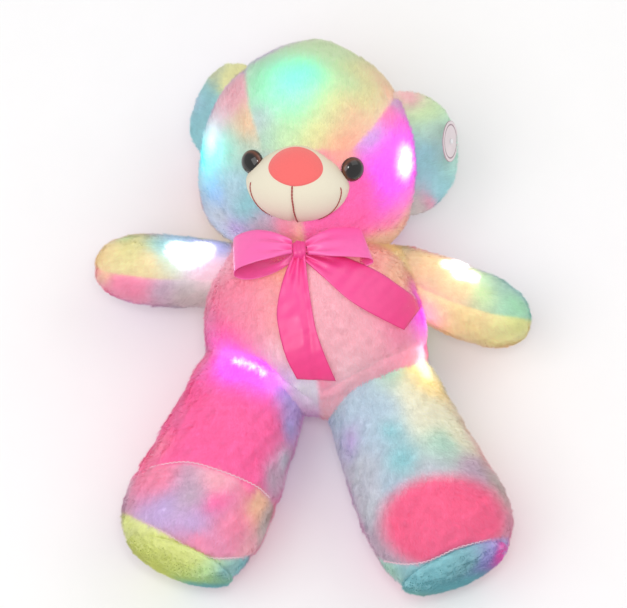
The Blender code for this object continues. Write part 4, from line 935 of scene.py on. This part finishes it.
sole_patches = {
    "left": (
        ("lime", 138, 528, 14), ("lime", 165, 545, 14), ("lime", 188, 562, 14),
        ("moss", 204, 570, 12), ("pond", 222, 570, 11), ("teal", 242, 566, 12),
        ("sand", 124, 516, 8),
    ),
    "right": (
        ("celadon", 390, 568, 10), ("pond", 408, 577, 14), ("teal", 436, 574, 14),
        ("pond", 462, 568, 12), ("iris", 484, 560, 11), ("orchid", 503, 550, 10),
        ("teal", 450, 585, 12),
    ),
}
toe_patch = {"dye": "melon", "middle": (444, 521), "half": (62, 46), "edge": 0.2}
sole_edge = 0.0445
foot_bulge = 0.006
bulge_wide, bulge_back, bulge_long = 0.045, 0.030, 0.040
bare_depth, bare_margin = 0.0035, 0.003
under_sole = 0.001
front_soft, front_from = 0.35, 0.6
leg_length = 0.190
leg_splay = math.radians(21.5)
sole_lift = 0.0058


def sole_place(side):
    """The middle of a foot's flat end, its Z pointing out of the sole."""
    sign = -1 if side == "left" else 1
    aim = Matrix.Rotation(math.pi + sign * leg_splay, 4, "Z")
    lie = Matrix.Translation((0, leg_length, sole_lift)) @ Matrix.Rotation(-math.pi / 2, 4, "X")
    return Matrix.Translation(pivots[f"leg_{side}_swing"]) @ aim @ lie


def local_places(points, place):
    back = np.array(place.inverted())
    return points @ back[:3, :3].T + back[:3, 3]


leg_forms = {}
for side, leg in leg_sides.items():
    name = f"leg_{side}"
    skin, form = limb_skin(name, leg["spine"])
    leg_forms[side] = form
    routes = [route for route in (leg["toe_seam"], leg["sole_seam"]) if route]
    pulled_in(skin, [sewn_line(form, route) for route in routes], lumps=0.0011)
    points = read(skin.data.vertices, "co")
    place = sole_place(side)
    near_sole = local_places(points, place)
    inside = np.hypot(near_sole[:, 0], near_sole[:, 1]) < sole_edge
    sunk = np.maximum(near_sole[:, 2] + under_sole, 0) * inside
    points -= sunk[:, None] * np.array(place.to_3x3() @ Vector((0, 0, 1)))
    outward = -1 if side == "left" else 1
    proud = foot_bulge * np.clip(-outward * near_sole[:, 0] / bulge_wide, 0, 1)
    proud *= np.exp(-(((near_sole[:, 2] + bulge_back) / bulge_long) ** 2))
    points += proud[:, None] * np.array(place.to_3x3() @ Vector((-outward, 0, 0)))
    write(skin.data.vertices, "co", points)
    across, down = in_photo(points)
    front = read(skin.data.vertices, "normal") @ np.array(BACK) / front_soft + front_from
    front = np.clip(front, 0, 1)
    panels = [(1.0, leg["upper"])]
    if leg["toe_seam"]:
        panels.append((beyond(past(leg["toe_seam"], across, down)), leg["lower"]))
    dye_skin(skin, form, panels)
    if side == "right":
        (middle_x, middle_y), (half_wide, half_high) = toe_patch["middle"], toe_patch["half"]
        out = np.hypot((across - middle_x) / half_wide, (down - middle_y) / half_high)
        stain = np.clip((1 + toe_patch["edge"] - out) / (2 * toe_patch["edge"]), 0, 1)
        stain = (stain * stain * (3 - 2 * stain) * front)[:, None]
        patch = np.array(linear(dyes[toe_patch["dye"]]))
        note(skin.data, "dye", coloured(skin.data) * (1 - stain) + stain * patch)
    below_seam = beyond(past(leg["sole_seam"], across, down)) * front
    dye_skin(skin, form, [(below_seam, sole_patches[side])], coloured(skin.data))

    def off_sole(places):
        near = local_places(places, sole_place(side))
        out = np.hypot(near[:, 0], near[:, 1])
        return 1.0 - ((near[:, 2] > -bare_depth) & (out < sole_edge - bare_margin))

    finish_skin(
        skin, f"{name}_pile", "trunk", name,
        count=120000, combed=(0.3 * outward, -1, -0.1), seed=6 + len(side), keep=off_sole,
        other=(f"{name}_group", *leg["blend"]),
    )

# The soles: oval panels of another dye, cut from the same plush and slightly crowned.
# Each one is sewn round the flat end of its foot, where its pile meets the pile of the leg.


rim_pressed = 0.35


def cushion(name, place, half_sizes, cup=0.0, squareness=2.0):
    """A flat round cushion: an even round of faces pressed flat, and cupped towards its rim."""
    bm, ways = round_mesh(5)
    for vertex in bm.verts:
        out = vertex.co.x**2 + vertex.co.y**2
        flat = 1 - rim_pressed * out**2
        turn = math.atan2(vertex.co.y, vertex.co.x)
        corner = abs(math.cos(turn)) ** squareness + abs(math.sin(turn)) ** squareness
        corner **= -1 / squareness
        vertex.co = Vector([way * half * corner for way, half in zip(vertex.co, half_sizes)])
        vertex.co.z = vertex.co.z / corner * flat + cup * out
    bmesh.ops.transform(bm, matrix=place, verts=bm.verts)
    made = joined(name, bm)
    note(made.data, "way", ways)
    return made


sole_half = (0.0472, 0.0462, 0.0125)
sole_sunk = 0.0040

for side, sign in (("left", -1), ("right", 1)):
    sunk = Matrix.Translation((0, 0, -sole_sunk))
    sole = cushion(f"sole_{side}_skin", sole_place(side) @ sunk, sole_half)
    form = tree_of(sole)
    pulled_in(sole, [], lumps=0.0004)
    dye_skin(sole, form, [(1.0, sole_patches[side])])
    finish_skin(
        sole, f"sole_{side}_pile", f"leg_{side}_group", f"sole_{side}",
        count=24000, combed=(0, 0, 1), seed=11 + sign,
    )

# The stitches: zigzags of pale thread over the seam of the left toe and the seams of both soles.
# They close the toe panel and the soles, and the thread lies on the pile that it presses down.

seam_thread = 0.0005
zigzag_wide = 0.0016
zigzag_step = 0.0021
seam_proud = 0.0013
seam_steps = 60


def ridges(m, scale, distortion=0.0):
    """Fine slanting ridges, as of twisted thread or twill."""
    place = m.node("ShaderNodeTexCoord", output="Object")
    settings = {"Vector": place, "Scale": scale, "Distortion": distortion}
    return m.node("ShaderNodeTexWave", settings, output=1, bands_direction="DIAGONAL")


def thread_look(m, colour, low, more, twist):
    return {"Base Color": tinted(m, colour, low, more, 900), "Normal": bump(m, twist, 0.0003)}


def stitch_row(name, places, size, wide=0.0, step=0.0031, covers=0.94):
    """Stitches along a route, straight or in a zigzag as wide as asked.

    Each one covers a share of its step, which is over 1 where stitches overlap.
    """
    places = np.array([tuple(p) for p in places])
    run = np.concatenate([[0], np.cumsum(np.linalg.norm(np.diff(places, axis=0), axis=1))])
    count = max(2, round(run[-1] / step))
    at = np.linspace(0, run[-1], count + 1)
    corners = np.stack([np.interp(at, run, places[:, k]) for k in range(3)], 1)
    corners = [Vector(corner) for corner in corners]
    for n, corner in enumerate(corners):
        ahead = corners[min(n + 1, count)] - corners[max(n - 1, 0)]
        aside = ahead.cross(BACK).normalized()
        corners[n] = corner + aside * (wide / 2 * (-1) ** n)
    bm = bmesh.new()
    for start, end in zip(corners, corners[1:]):
        along = end - start
        turn = along.to_track_quat("Z", "Y").to_matrix().to_4x4()
        shape = Matrix.Diagonal((size, size, along.length * covers / 2, 1))
        lie = Matrix.Translation((start + end) / 2) @ turn @ shape
        bmesh.ops.create_uvsphere(bm, u_segments=8, v_segments=6, radius=1, matrix=lie)
    return joined(name, bm)


seam_finish = material(
    "seam_thread",
    lambda m: thread_look(m, "f9d5e2", 0.85, 0.25, ridges(m, 600)),
    Roughness=0.6,
    Sheen_Weight=0.2,
)
for side, leg in leg_sides.items():
    form = leg_forms[side]
    for seam in ("toe_seam", "sole_seam"):
        if leg[seam]:
            route = spline(leg[seam][1:-1], seam_steps)
            places = [seen(form, x, y) + seam_proud * BACK for x, y in route]
            name = f"{seam}_{side}_stitches"
            stitches = stitch_row(name, places, seam_thread, zigzag_wide, zigzag_step)
            placed(stitches, seam_finish, f"leg_{side}_group")

# The ears: thin cushions of plush, each with a front lining and a back panel joined round the rim.
# They are cupped a little, and sewn to the head along their lower edge.

ear_half = {"left": (0.0455, 0.0430, 0.0105), "right": (0.048, 0.054, 0.0105)}
ear_squareness = {"left": 2.7, "right": 2.1}
ear_cup = 0.008
ear_rim, ear_rim_sewn = 0.10, 0.8
# Each ear's middle, and the directions of its width and its height
ear_lies = {
    "left": (
        (-0.06179, 0.17361, 0.09887), (0.69896, -0.56769, 0.43494), (0.43702, 0.82046, 0.36858),
    ),
    "right": ((0.07731, 0.14471, 0.08618), (0.98629, 0.06183, -0.15303), (0.0, 0.92718, 0.37461)),
}
ear_patches = {
    "left": (
        ("sand", 214, 80, 9), ("lemon", 234, 84, 12), ("aqua", 208, 98, 12), ("teal", 196, 118, 16),
        ("teal", 197, 140, 14), ("aqua", 214, 110, 12), ("sky_blue", 200, 158, 12),
        ("lilac", 200, 110, -9),
    ),
    "right": (
        ("blush", 410, 97, 8), ("moss", 420, 112, 13), ("celadon", 432, 134, 14),
        ("celadon", 446, 160, 12), ("aqua", 430, 182, 14), ("aqua", 424, 158, 13),
        ("aqua", 440, 195, 11), ("stone", 424, 213, 9), ("rose", 438, 212, 6),
        ("lemon", 430, 140, -9), ("rose", 430, 190, -8),
    ),
}


def lay_matrix(origin, x_axis, y_axis):
    x_axis, y_axis = Vector(x_axis), Vector(y_axis)
    lay = Matrix((x_axis, y_axis, x_axis.cross(y_axis))).transposed().to_4x4()
    return Matrix.Translation(origin) @ lay


for side, lie in ear_lies.items():
    ear = cushion(
        f"ear_{side}_skin", lay_matrix(*lie), ear_half[side], ear_cup, ear_squareness[side]
    )
    ways = read(ear.data.attributes["way"].data, "vector")
    rim = ear_rim_sewn * np.exp(-((ways[:, 2] / ear_rim) ** 2))
    form = tree_of(ear)
    pulled_in(ear, [], lumps=0.0006)
    note(ear.data, "sewn", np.stack([rim] * 3, 1))
    dye_skin(ear, form, [(1.0, ear_patches[side])])
    finish_skin(
        ear, f"ear_{side}_pile", "head_group", f"ear_{side}",
        count=60000, combed=(-0.7 if side == "left" else 0.8, 0.5, 0.2), seed=21 + len(side),
        lamps=(),
    )

# The muzzle: a smooth egg of cream velboa with a very short nap, stuffed on its own.
# It is sewn on over the lower half of the face, and is narrower at the top, below the nose.

# How the face lies, tipped, leant and turned in degrees
head_turns = (("X", 22), ("Y", -4.5), ("Z", -4))
head_lie = Matrix.Translation(head_centre)
for axis, degrees in head_turns:
    head_lie = head_lie @ turn_about(axis, degrees)


def facing(turn, rise, distance):
    """A place on the head in a direction from its centre, its Z pointing outwards."""
    aim = turn_about("Y", turn) @ turn_about("X", -rise)
    return head_lie @ aim @ Matrix.Translation((0, 0, distance))


def velboa_look(m):
    nap = noise(m, 1500, 5.0)
    return {
        "Base Color": kept(m, "dye").scaled(0.95 + 0.10 * nap),
        "Emission Color": kept(m, "glow"),
        "Normal": bump(m, nap, 0.0004, 0.35),
    }


muzzle_place = facing(-1.5, -17, 0.078)
muzzle_half = Vector((0.045, 0.0345, 0.034))
chin_wide, chin_depth = 0.045, 0.0016
rim_shade_reach = 0.55
top_slim, top_bend = 0.30, 1.3


def muzzle_slim(y):
    """How much narrower the muzzle is towards its top, where it comes up to the nose."""
    return 1 - top_slim * max(y, 0.0) ** top_bend


bm, ways = round_mesh(6)
for vertex in bm.verts:
    vertex.co.x *= muzzle_slim(vertex.co.y)
bmesh.ops.scale(bm, vec=muzzle_half, verts=bm.verts)
bmesh.ops.transform(bm, matrix=muzzle_place, verts=bm.verts)
muzzle_form = BVHTree.FromBMesh(bm)
muzzle = joined("muzzle_skin", bm)
note(muzzle.data, "way", ways)
ways = np.array(ways)
chin_dip = np.exp(-((ways[:, 0] / chin_wide) ** 2)) * (ways[:, 2] > 0)
chin_dip *= np.clip(-ways[:, 1] * 1.4 - 0.1, 0, 1)
points = read(muzzle.data.vertices, "co")
points -= read(muzzle.data.vertices, "normal") * (chin_depth * chin_dip)[:, None]
write(muzzle.data.vertices, "co", points)
muzzle.data.update()
# The cream is painted darker and warmer towards the muzzle's rim: a painted shade where it turns
# away into the face
edge = np.clip(1 - ways[:, 2] / rim_shade_reach, 0, 1)[:, None] ** 2
cream, shade = np.array(linear("e6dec8")), np.array(linear("dfcdb0"))
note(muzzle.data, "dye", cream * (1 - edge) + shade * edge)
light_skin(muzzle, share=0.0)
map_skin(muzzle)
velboa = material(
    "cream_velboa", velboa_look, Roughness=0.85, Sheen_Weight=0.3, Sheen_Roughness=0.4,
    Emission_Strength=0.5,
)
placed(muzzle, velboa, "head_group", "muzzle")

# The nose: a flat oval of coral felt with a blunt lower point, cut from one sheet.
# It is laid on the top of the muzzle and sewn round, which rounds off its edge.

nose_place = facing(-1.7, -4.9, 0.078)
nose_half = (0.0236, 0.0158)
nose_rings = 14
nose_sides = 72
nose_thick = 0.0016
nose_rounding = (1.12, 1.05)
nose_sag = 0.10


def felt_look(m):
    nap = noise(m, 1100, 5.0)
    return {"Base Color": tinted(m, "f26c6a", 0.94, 0.12, 700), "Normal": bump(m, nap, 0.0005, 0.4)}


def turned(outline, steps, merge=0.00005):
    """A round piece, turned about its Z from an outline of (radius, height)."""
    bm = bmesh.new()
    corners = [bm.verts.new((radius, 0, height)) for radius, height in outline]
    edges = [bm.edges.new(pair) for pair in zip(corners, corners[1:])]
    bmesh.ops.spin(
        bm, geom=edges, cent=(0, 0, 0), axis=(0, 0, 1), angle=math.tau, steps=steps, use_merge=True
    )
    bmesh.ops.remove_doubles(bm, verts=bm.verts, dist=merge)
    bmesh.ops.recalc_face_normals(bm, faces=bm.faces)
    return bm


bm = turned([(n / nose_rings, 0) for n in range(nose_rings + 1)], nose_sides, 0.0001)
nose_ray = (nose_place.to_3x3() @ Vector((0, 0, -1))).normalized()
for vertex in bm.verts:
    out = vertex.co.length
    turn = math.atan2(vertex.co.y, vertex.co.x)
    wide = math.copysign(abs(math.cos(turn)) ** nose_rounding[0], math.cos(turn))
    high = math.copysign(abs(math.sin(turn)) ** nose_rounding[1], math.sin(turn))
    high -= nose_sag * abs(wide) ** 3
    flat = nose_place @ Vector((wide * out * nose_half[0], high * out * nose_half[1], 0.05))
    hit = muzzle_form.ray_cast(flat, nose_ray)[0] or muzzle_form.find_nearest(flat)[0]
    vertex.co = hit - nose_ray * (nose_thick * math.sqrt(max(1 - out**8, 0)) + 0.0001)
bmesh.ops.recalc_face_normals(bm, faces=bm.faces)
felt = material("coral_felt", felt_look, Roughness=0.9, Sheen_Weight=0.35)
placed(joined("nose_felt", bm), felt, "head_group", "nose")

# The mouth: a lip line under the nose and a smile on each side of the muzzle.
# Each one is a row of small back stitches in brown thread, drawn tight into the velboa.

thread_radius = 0.00078
side_thread = 0.72
mouth_covers = 1.35
mouth_steps = 40
mouth_rows = {
    "mouth_stitch_centre": ((-0.03, 0.22), (-0.02, -0.1), (0.0, -0.3), (0.02, -0.6), (0.06, -0.90)),
    "mouth_stitch_left": (
        (-0.87, 0.06), (-0.87, -0.10), (-0.82, -0.32), (-0.71, -0.56), (-0.57, -0.72),
        (-0.42, -0.84),
    ),
    "mouth_stitch_right": (
        (0.87, 0.10), (0.87, -0.08), (0.82, -0.32), (0.71, -0.56), (0.57, -0.72), (0.42, -0.84),
    ),
}


thread = material(
    "brown_thread",
    lambda m: thread_look(m, "a8413c", 0.8, 0.4, ridges(m, 500, 1.0)),
    Roughness=0.55,
    Sheen_Weight=0.2,
)
muzzle_tree = tree_of(muzzle)
for name, row in mouth_rows.items():
    places = []
    for x, y in spline(row, mouth_steps):
        front = math.sqrt(max(1 - x**2 - y**2, 0))
        place = Vector((x * muzzle_slim(y), y, front)) * muzzle_half
        place, normal, *_ = muzzle_tree.find_nearest(muzzle_place @ place)
        places.append(place + normal * thread_radius / 2)
    size = thread_radius if "centre" in name else thread_radius * side_thread
    stitches = stitch_row(name + "_thread", places, size, covers=mouth_covers)
    placed(stitches, thread, "head_group", name)

# The eyes: glossy domes of clear brown plastic over a black pupil, each on a shank that a washer
# holds inside the head.

eye_radius = 0.0108
eye_back = -0.0014
eye_seat = 0.0072
eye_rings = 28
eye_sides = 64
# Each row of a dome: its radius and its height
eye_rows = (
    (0.0099, -0.0012), (0.0104, 0.0), (eye_radius, 0.0013), (0.0103, 0.0032), (0.0088, 0.0051),
    (0.0064, 0.0066), (0.0034, 0.0075), (0.0, 0.0078),
)
eye_turns = {"left": -28.3, "right": 29.8}
eye_rise = -5.4


def eye_look(m):
    out = kept(m, "dye")
    fleck = noise(m, 700, 4.0)
    ring = m.node(
        "ShaderNodeValToRGB",
        {"Fac": m.node("ShaderNodeSeparateColor", {0: out}) + 0.06 * (fleck - 0.5)},
        stops=(
            (0.0, linear("050303")), (0.66, linear("0a0605")), (0.76, linear("3a1d12")),
            (0.90, linear("6b3a22")), (0.98, linear("2a130c")),
        ),
    )
    return {"Base Color": ring}


eye_finish = material(
    "eye_plastic", eye_look, Roughness=0.10, Coat_Weight=1.0, Coat_Roughness=0.02,
    Specular_IOR_Level=0.2,
)
for side, turn in eye_turns.items():
    place = facing(turn, eye_rise, 0)
    heights = [(place.inverted() @ v.co).z for v in nodes[f"eye_{side}"].data.vertices]
    seat = max(heights) - eye_seat
    place = place @ Matrix.Translation((0, 0, seat))
    outline = [(max(radius, 0.0), height) for radius, height in spline(eye_rows, eye_rings)]
    bm = turned([(0.0, eye_back), *outline], eye_sides)
    out = [min(math.hypot(v.co.x, v.co.y) / eye_radius, 1) for v in bm.verts]
    bmesh.ops.transform(bm, matrix=place, verts=bm.verts)
    eye = joined(f"eye_{side}_dome", bm)
    note(eye.data, "dye", [(o, o, o, 1) for o in out])
    placed(eye, eye_finish, "head_group", f"eye_{side}")

# The bow: pink satin ribbon, woven 40 mm wide. A band goes round the neck, and two loops and two
# tails are gathered under a knot at the throat.

ribbon_wide = 0.040
satin_thick = 0.0005
folds = 2.5
# The ribs of the weave across and along, in radians to a metre, and the share of the half width
# where the selvedge starts
weave_across, weave_along = 2600, 3100
selvedge_from = 0.95
# The pink at the start and at the end of each length of ribbon. One ribbon is painted in lit and
# shaded pinks: the loops lighter, the knot and band darker, and each tail lighter near the knot as
# a painted highlight and darker towards its cut end
painted_light_pinks = {
    "loop": ("fb66b2", "fb66b2"), "tail": ("f8509f", "ec2f80"), "knot": ("ee4193", "ee4193"),
    "band": ("f653a2", "f653a2"),
}


def satin_look(m):
    lie = kept(m, "way", 1)
    across = m.node("ShaderNodeSeparateXYZ", {0: lie}, output=1)
    along = m.node("ShaderNodeSeparateXYZ", {0: lie}, output=0)
    weave = (across * weave_across).maths("SINE") * 0.5 + 0.5
    slub = noise(m, 160, 3.0)
    edge = (across * (2 / ribbon_wide)).maths("ABSOLUTE").maths("GREATER_THAN", selvedge_from)
    # The kept pink carries the ribbon's painted light and shade
    pink = kept(m, "dye")
    colour = pink.scaled(1.06 - 0.05 * edge - 0.14 * slub)
    height = 0.6 * weave + 0.4 * (along * weave_along).maths("SINE")
    ribs = bump(m, height, 0.00006, 0.25)
    return {"Base Color": colour, "Roughness": 0.30 + 0.14 * slub, "Normal": ribs}


satin = material(
    "pink_satin", satin_look, Sheen_Weight=0.25, Sheen_Roughness=0.3, Specular_IOR_Level=0.7
)


def shaded(pink, shares):
    """The pink of a ribbon at each share of its length, with its painted light and shade."""
    start, end = (np.array(linear(code)) for code in painted_light_pinks[pink])
    shares = np.reshape(shares, (-1, 1))
    return start * (1 - shares) + end * shares


def satin_piece(name, pink, rows, columns, place, wide, long, held, rests_on):
    """A length of ribbon: an even grid of faces, laid by a rule for its places."""
    bm = bmesh.new()
    bmesh.ops.create_grid(bm, x_segments=rows, y_segments=columns, size=1)
    lie = []
    for vertex in bm.verts:
        u, v = (vertex.co.x + 1) / 2, vertex.co.y
        lie.append((u * long, v * wide / 2, 0))
        vertex.co = place(u, v)
    bmesh.ops.recalc_face_normals(bm, faces=bm.faces)
    made = joined(name, bm)
    note(made.data, "way", lie)
    # Its dye holds the painted pink, lighter or darker with painted light and shade
    note(made.data, "dye", shaded(pink, [at[0] / long for at in lie]))
    wall = made.modifiers.new("thickness", "SOLIDIFY")
    wall.thickness, wall.offset = satin_thick, 0
    placed(made, satin, "trunk", name.removesuffix("_satin"))


bow_lie = lay_matrix(
    (-0.0105, 0.03329, 0.13609), (0.9938, 0.04796, 0.10029), (0.0, 0.90217, -0.43138)
)
# Each row: how far out of the knot as a share of the loop's length, how high, the width's share
loop_rows = (
    (0.02, 0.30, 0.36), (0.12, 0.20, 0.50), (0.32, 0.10, 0.76), (0.58, 0.08, 0.95),
    (0.84, 0.12, 1.0), (1.0, 0.42, 1.0), (0.93, 0.84, 1.0), (0.62, 1.06, 0.97),
    (0.34, 0.98, 0.80), (0.12, 0.78, 0.52), (0.02, 0.62, 0.36),
)
loop_grid, tail_grid = (91, 25), (60, 21)
loop_steps, tail_steps = 90, 60
loop_start = 0.003
loop_folds = 0.0050
loop_belly = 0.0016
loop_lean = 0.010
loops = {
    "left": {"angle": 180.0, "droop": 6.0, "long": 0.053, "skew": 0.05, "high": 0.020},
    "right": {"angle": 14.5, "droop": 15.0, "long": 0.056, "skew": 0.0, "high": 0.0135},
}
for side, loop in loops.items():
    lie = bow_lie @ turn_about("Z", loop["angle"]) @ turn_about("Y", loop["droop"])
    lie = lie @ Matrix.Translation((loop_start, 0, 0))
    route = spline(loop_rows, loop_steps)
    steps = np.diff(route[:, :2] * (loop["long"], loop["high"]), axis=0)
    loop_run = float(np.linalg.norm(steps, axis=1).sum())
    turned_over = -1 if side == "left" else 1

    def loop_place(u, v):
        out, rise, wide = part_way(route, u)
        layer = 1 if u > 0.5 else -1
        gather = max(0.0, 1 - wide)
        fold = layer * loop_folds * gather * math.cos(v * math.pi * folds)
        belly = layer * loop_belly * math.sin(math.pi * min(out, 1.0)) * (1 - v * v)
        lean = loop["skew"] * turned_over * loop_lean * v * min(1.0, out * 1.2)
        height = rise * loop["high"] + fold + belly
        return lie @ Vector((out * loop["long"] + lean, v * wide * ribbon_wide / 2, height))

    satin_piece(
        f"bow_loop_{side}_satin", "loop", *loop_grid, loop_place, ribbon_wide, loop_run,
        "folded", ["bow_knot_satin"],
    )

# Each tail's two edges, as the photograph shows them, from the knot to the cut end
tails = {
    "left": (
        ((293, 254), (283, 280), (277, 309), (279, 331), (286, 357), (297, 379)),
        ((305, 254), (308, 282), (312, 309), (317, 333), (326, 358), (336, 381)),
    ),
    "right": (
        ((300, 250), (341, 256), (377, 271), (401, 287), (424, 303)),
        ((300, 257), (323, 277), (349, 300), (376, 316), (404, 330)),
    ),
}
tail_length = {"left": 0.110, "right": 0.105}
tail_lift, knot_lift, corner_lift = 0.0042, 0.006, 0.003
tail_ripple = 0.0012
tail_gather = 0.0022
gather_run, knot_run = 0.35, 0.15
corner_from, corner_run = 0.82, 0.18
for side, (one, other) in tails.items():
    first, second = spline(one, tail_steps), spline(other, tail_steps)

    def tail_place(u, v):
        x, y = part_way(first, u) * (1 - v) / 2 + part_way(second, u) * (1 + v) / 2
        ripple = tail_ripple * math.sin(u * 7 + (1 if side == "left" else 3))
        ripple *= 0.4 + 0.6 * v * v
        gather = tail_gather * max(0.0, 1 - u / gather_run) * math.cos(v * math.pi * folds)
        lift = tail_lift + knot_lift * max(0.0, 1 - u / knot_run) + ripple + gather
        if side == "right":
            lift += corner_lift * max(0.0, (u - corner_from) / corner_run) * (1 + v) / 2
        return seen(trunk_form, x, y) + lift * BACK

    satin_piece(
        f"bow_tail_{side}_satin", "tail", *tail_grid, tail_place, ribbon_wide, tail_length[side],
        "draped", ["trunk_skin"],
    )

knot_half = Vector((0.0068, 0.0085, 0.0060))
knot_rise = 0.0080
knot_square, knot_waist = 0.72, 0.10
pleat_depth, pleats, pleat_slant = 0.075, 9, 1.5
bm, ways = round_mesh(5)
lie = [(way.y * knot_half.y, way.x * knot_half.x, 0) for way in ways]
for vertex, way in zip(bm.verts, ways):
    square = [math.copysign(abs(c) ** knot_square, c) for c in way]
    pleat = 1 + pleat_depth * math.cos(pleats * way.x + pleat_slant * way.y) * (1 - abs(way.x))
    pleat -= knot_waist * (1 - way.y**2) * way.x**2
    vertex.co = Vector(square) * knot_half * pleat + Vector((0, 0, knot_rise))
bmesh.ops.transform(bm, matrix=bow_lie, verts=bm.verts)
knot = joined("bow_knot_satin", bm)
note(knot.data, "way", lie)
note(knot.data, "dye", shaded("knot", [0.0] * len(lie)))
placed(knot, satin, "trunk", "bow_knot")

bm = bmesh.new()
bm.from_mesh(nodes["neck_ribbon"].data)
bmesh.ops.remove_doubles(bm, verts=bm.verts, dist=0.00005)
bmesh.ops.subdivide_edges(bm, edges=bm.edges, cuts=1, use_grid_fill=True)
band = joined("neck_band_satin", bm)
note(band.data, "way", [(v.co.x, v.co.z, 0) for v in band.data.vertices])
note(band.data, "dye", shaded("band", [0.0] * len(band.data.vertices)))
placed(band, satin, "trunk", "neck_ribbon")

# The ear tag: a blank round card with a pressed border, on a clear bent pin through the ear.
# The pin is moulded plastic, and goes through the card's middle and the ear near its rim.

tag_sides = 72
tag_place = (0.040, 0.012, 0.022)
tag_tilt = 58
tag_edge = 0.0178
tag_groove = (0.0140, 0.0152)
ear_lie = lay_matrix(*ear_lies["right"])
tag_lie = ear_lie @ Matrix.Translation(tag_place) @ turn_about("Y", tag_tilt)
# Each row of the card: its radius and its height
tag_rows = (
    (0.0014, 0), (0.0015, 0.0005), (0.0138, 0.0005), (0.0142, 0.0003), (0.0150, 0.0003),
    (0.0154, 0.0005), (0.0174, 0.0005), (0.0180, 0.0003), (0.0180, -0.0003), (0.0174, -0.0005),
    (0.0015, -0.0005), (0.0014, 0),
)


def card_look(m):
    fibre = noise(m, 900, 5.0)
    smudge = noise(m, 90, 3.0)
    pressed = kept(m, "dye")
    return {
        "Base Color": pressed.scaled(0.88 + 0.16 * smudge),
        "Roughness": 0.45 + 0.2 * smudge,
        "Normal": bump(m, fibre, 0.0002, 0.3),
    }


bm = turned(tag_rows, tag_sides)
rings = [math.hypot(v.co.x, v.co.y) for v in bm.verts]
bmesh.ops.transform(bm, matrix=tag_lie, verts=bm.verts)
tag = joined("ear_tag_card", bm)
card, ring = linear("e8dcdf"), linear("a98f98")
inner, outer = tag_groove
note(tag.data, "dye", [ring if inner < r < outer or r > tag_edge else card for r in rings])
tag.data.shade_flat()
card_finish = material("tag_card", card_look, Specular_IOR_Level=0.4)
placed(tag, card_finish, "head_group", "ear_tag")

# The zip in the back: two woven tapes, a coil of interlocking teeth, two stops, a slider and a
# pull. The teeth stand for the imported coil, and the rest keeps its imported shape.

tooth_pitch = 0.0013
tooth_half = (0.0011, 0.00032, 0.0010)
tooth_aside = 0.0004
tooth_turn = 0.35


def tape_look(m):
    twill = bump(m, ridges(m, 450), 0.0002, 0.6)
    return {"Base Color": tinted(m, "f6c9d6", 0.88, 0.2, 500), "Normal": twill}


def metal_look(m):
    brush = noise(m, 400, 4.0, (1, 8, 1))
    return {"Base Color": tinted(m, "c9cacc", 0.85, 0.2, 260), "Roughness": 0.22 + 0.25 * brush}


tape = material("zip_fabric", tape_look, Roughness=0.85, Sheen_Weight=0.2)
metal = material("zip_metal", metal_look, Metallic=1.0)
low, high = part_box("zip_coil")
bm = bmesh.new()
count = int((high.y - low.y) / tooth_pitch)
for n in range(count):
    for sign in (-1, 1):
        at = (low + high) / 2
        at.x += sign * tooth_aside
        at.y = low.y + (n + 0.5 + sign / 4) * tooth_pitch
        lie = Matrix.Translation(at) @ Matrix.Rotation(sign * tooth_turn, 4, "Z")
        lie = lie @ Matrix.Diagonal((*tooth_half, 1))
        bmesh.ops.create_uvsphere(bm, u_segments=10, v_segments=6, radius=1, matrix=lie)
placed(joined("zip_teeth", bm), tape, "trunk", "zip_coil")

# The works inside: the battery box with its lid and cells, the board, the lamps and their wires.
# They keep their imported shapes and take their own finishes.


def moulded_look(code, low=0.92, more=0.14, scale=180, rough=0.42):
    def look(m):
        grain = noise(m, 900, 4.0)
        return {
            "Base Color": tinted(m, code, low, more, scale),
            "Roughness": rough - 0.08 + 0.16 * grain,
            "Normal": bump(m, grain, 0.00015, 0.25),
        }

    return look


def board_look(m):
    mask = noise(m, 700, 2.0).maths("GREATER_THAN", 0.56)
    traces = tinted(m, "1f6b3c").mixed(plain(m, "b98b4a"), 0.6 * mask)
    return {"Base Color": traces, "Roughness": 0.35 + 0.3 * mask}


finishes = {
    "zip_tape_": tape,
    "zip_s": metal,
    "zip_pull": metal,
    "eye_washer": material("washer_plastic", moulded_look("f2f0ea")),
    "ear_tag_pin": material("pin_plastic", moulded_look("e9ecee", rough=0.25)),
    "battery_case": material("case_plastic", moulded_look("f0efe9")),
    "battery_lid": material("lid_plastic", moulded_look("eceae3")),
    "battery_": material("cell_sleeve", moulded_look("3d4347", 0.8, 0.4, 90, 0.3), Metallic=0.3),
    "contact_": material("spring_steel", metal_look, Metallic=1.0),
    "lid_screw": material("screw_steel", metal_look, Metallic=1.0),
    "circuit_board": material("board_green", board_look),
    "switch_button": material("button_red", moulded_look("c8323a")),
    "led_": material("lamp_resin", moulded_look("f2f4f6", rough=0.15), Coat_Weight=0.5),
    "wire_": material("wire_sleeve", moulded_look("b8373c", rough=0.5)),
}
for name, node in nodes.items():
    chosen = [finish for start, finish in finishes.items() if name.startswith(start)]
    if chosen and not node.hide_render:
        for slot in node.material_slots:
            slot.link = "OBJECT"
            slot.material = chosen[0]

boxes = {"cad": cad_box, "visual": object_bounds()}
boxes = {name: [list(corner) for corner in box] for name, box in boxes.items()}
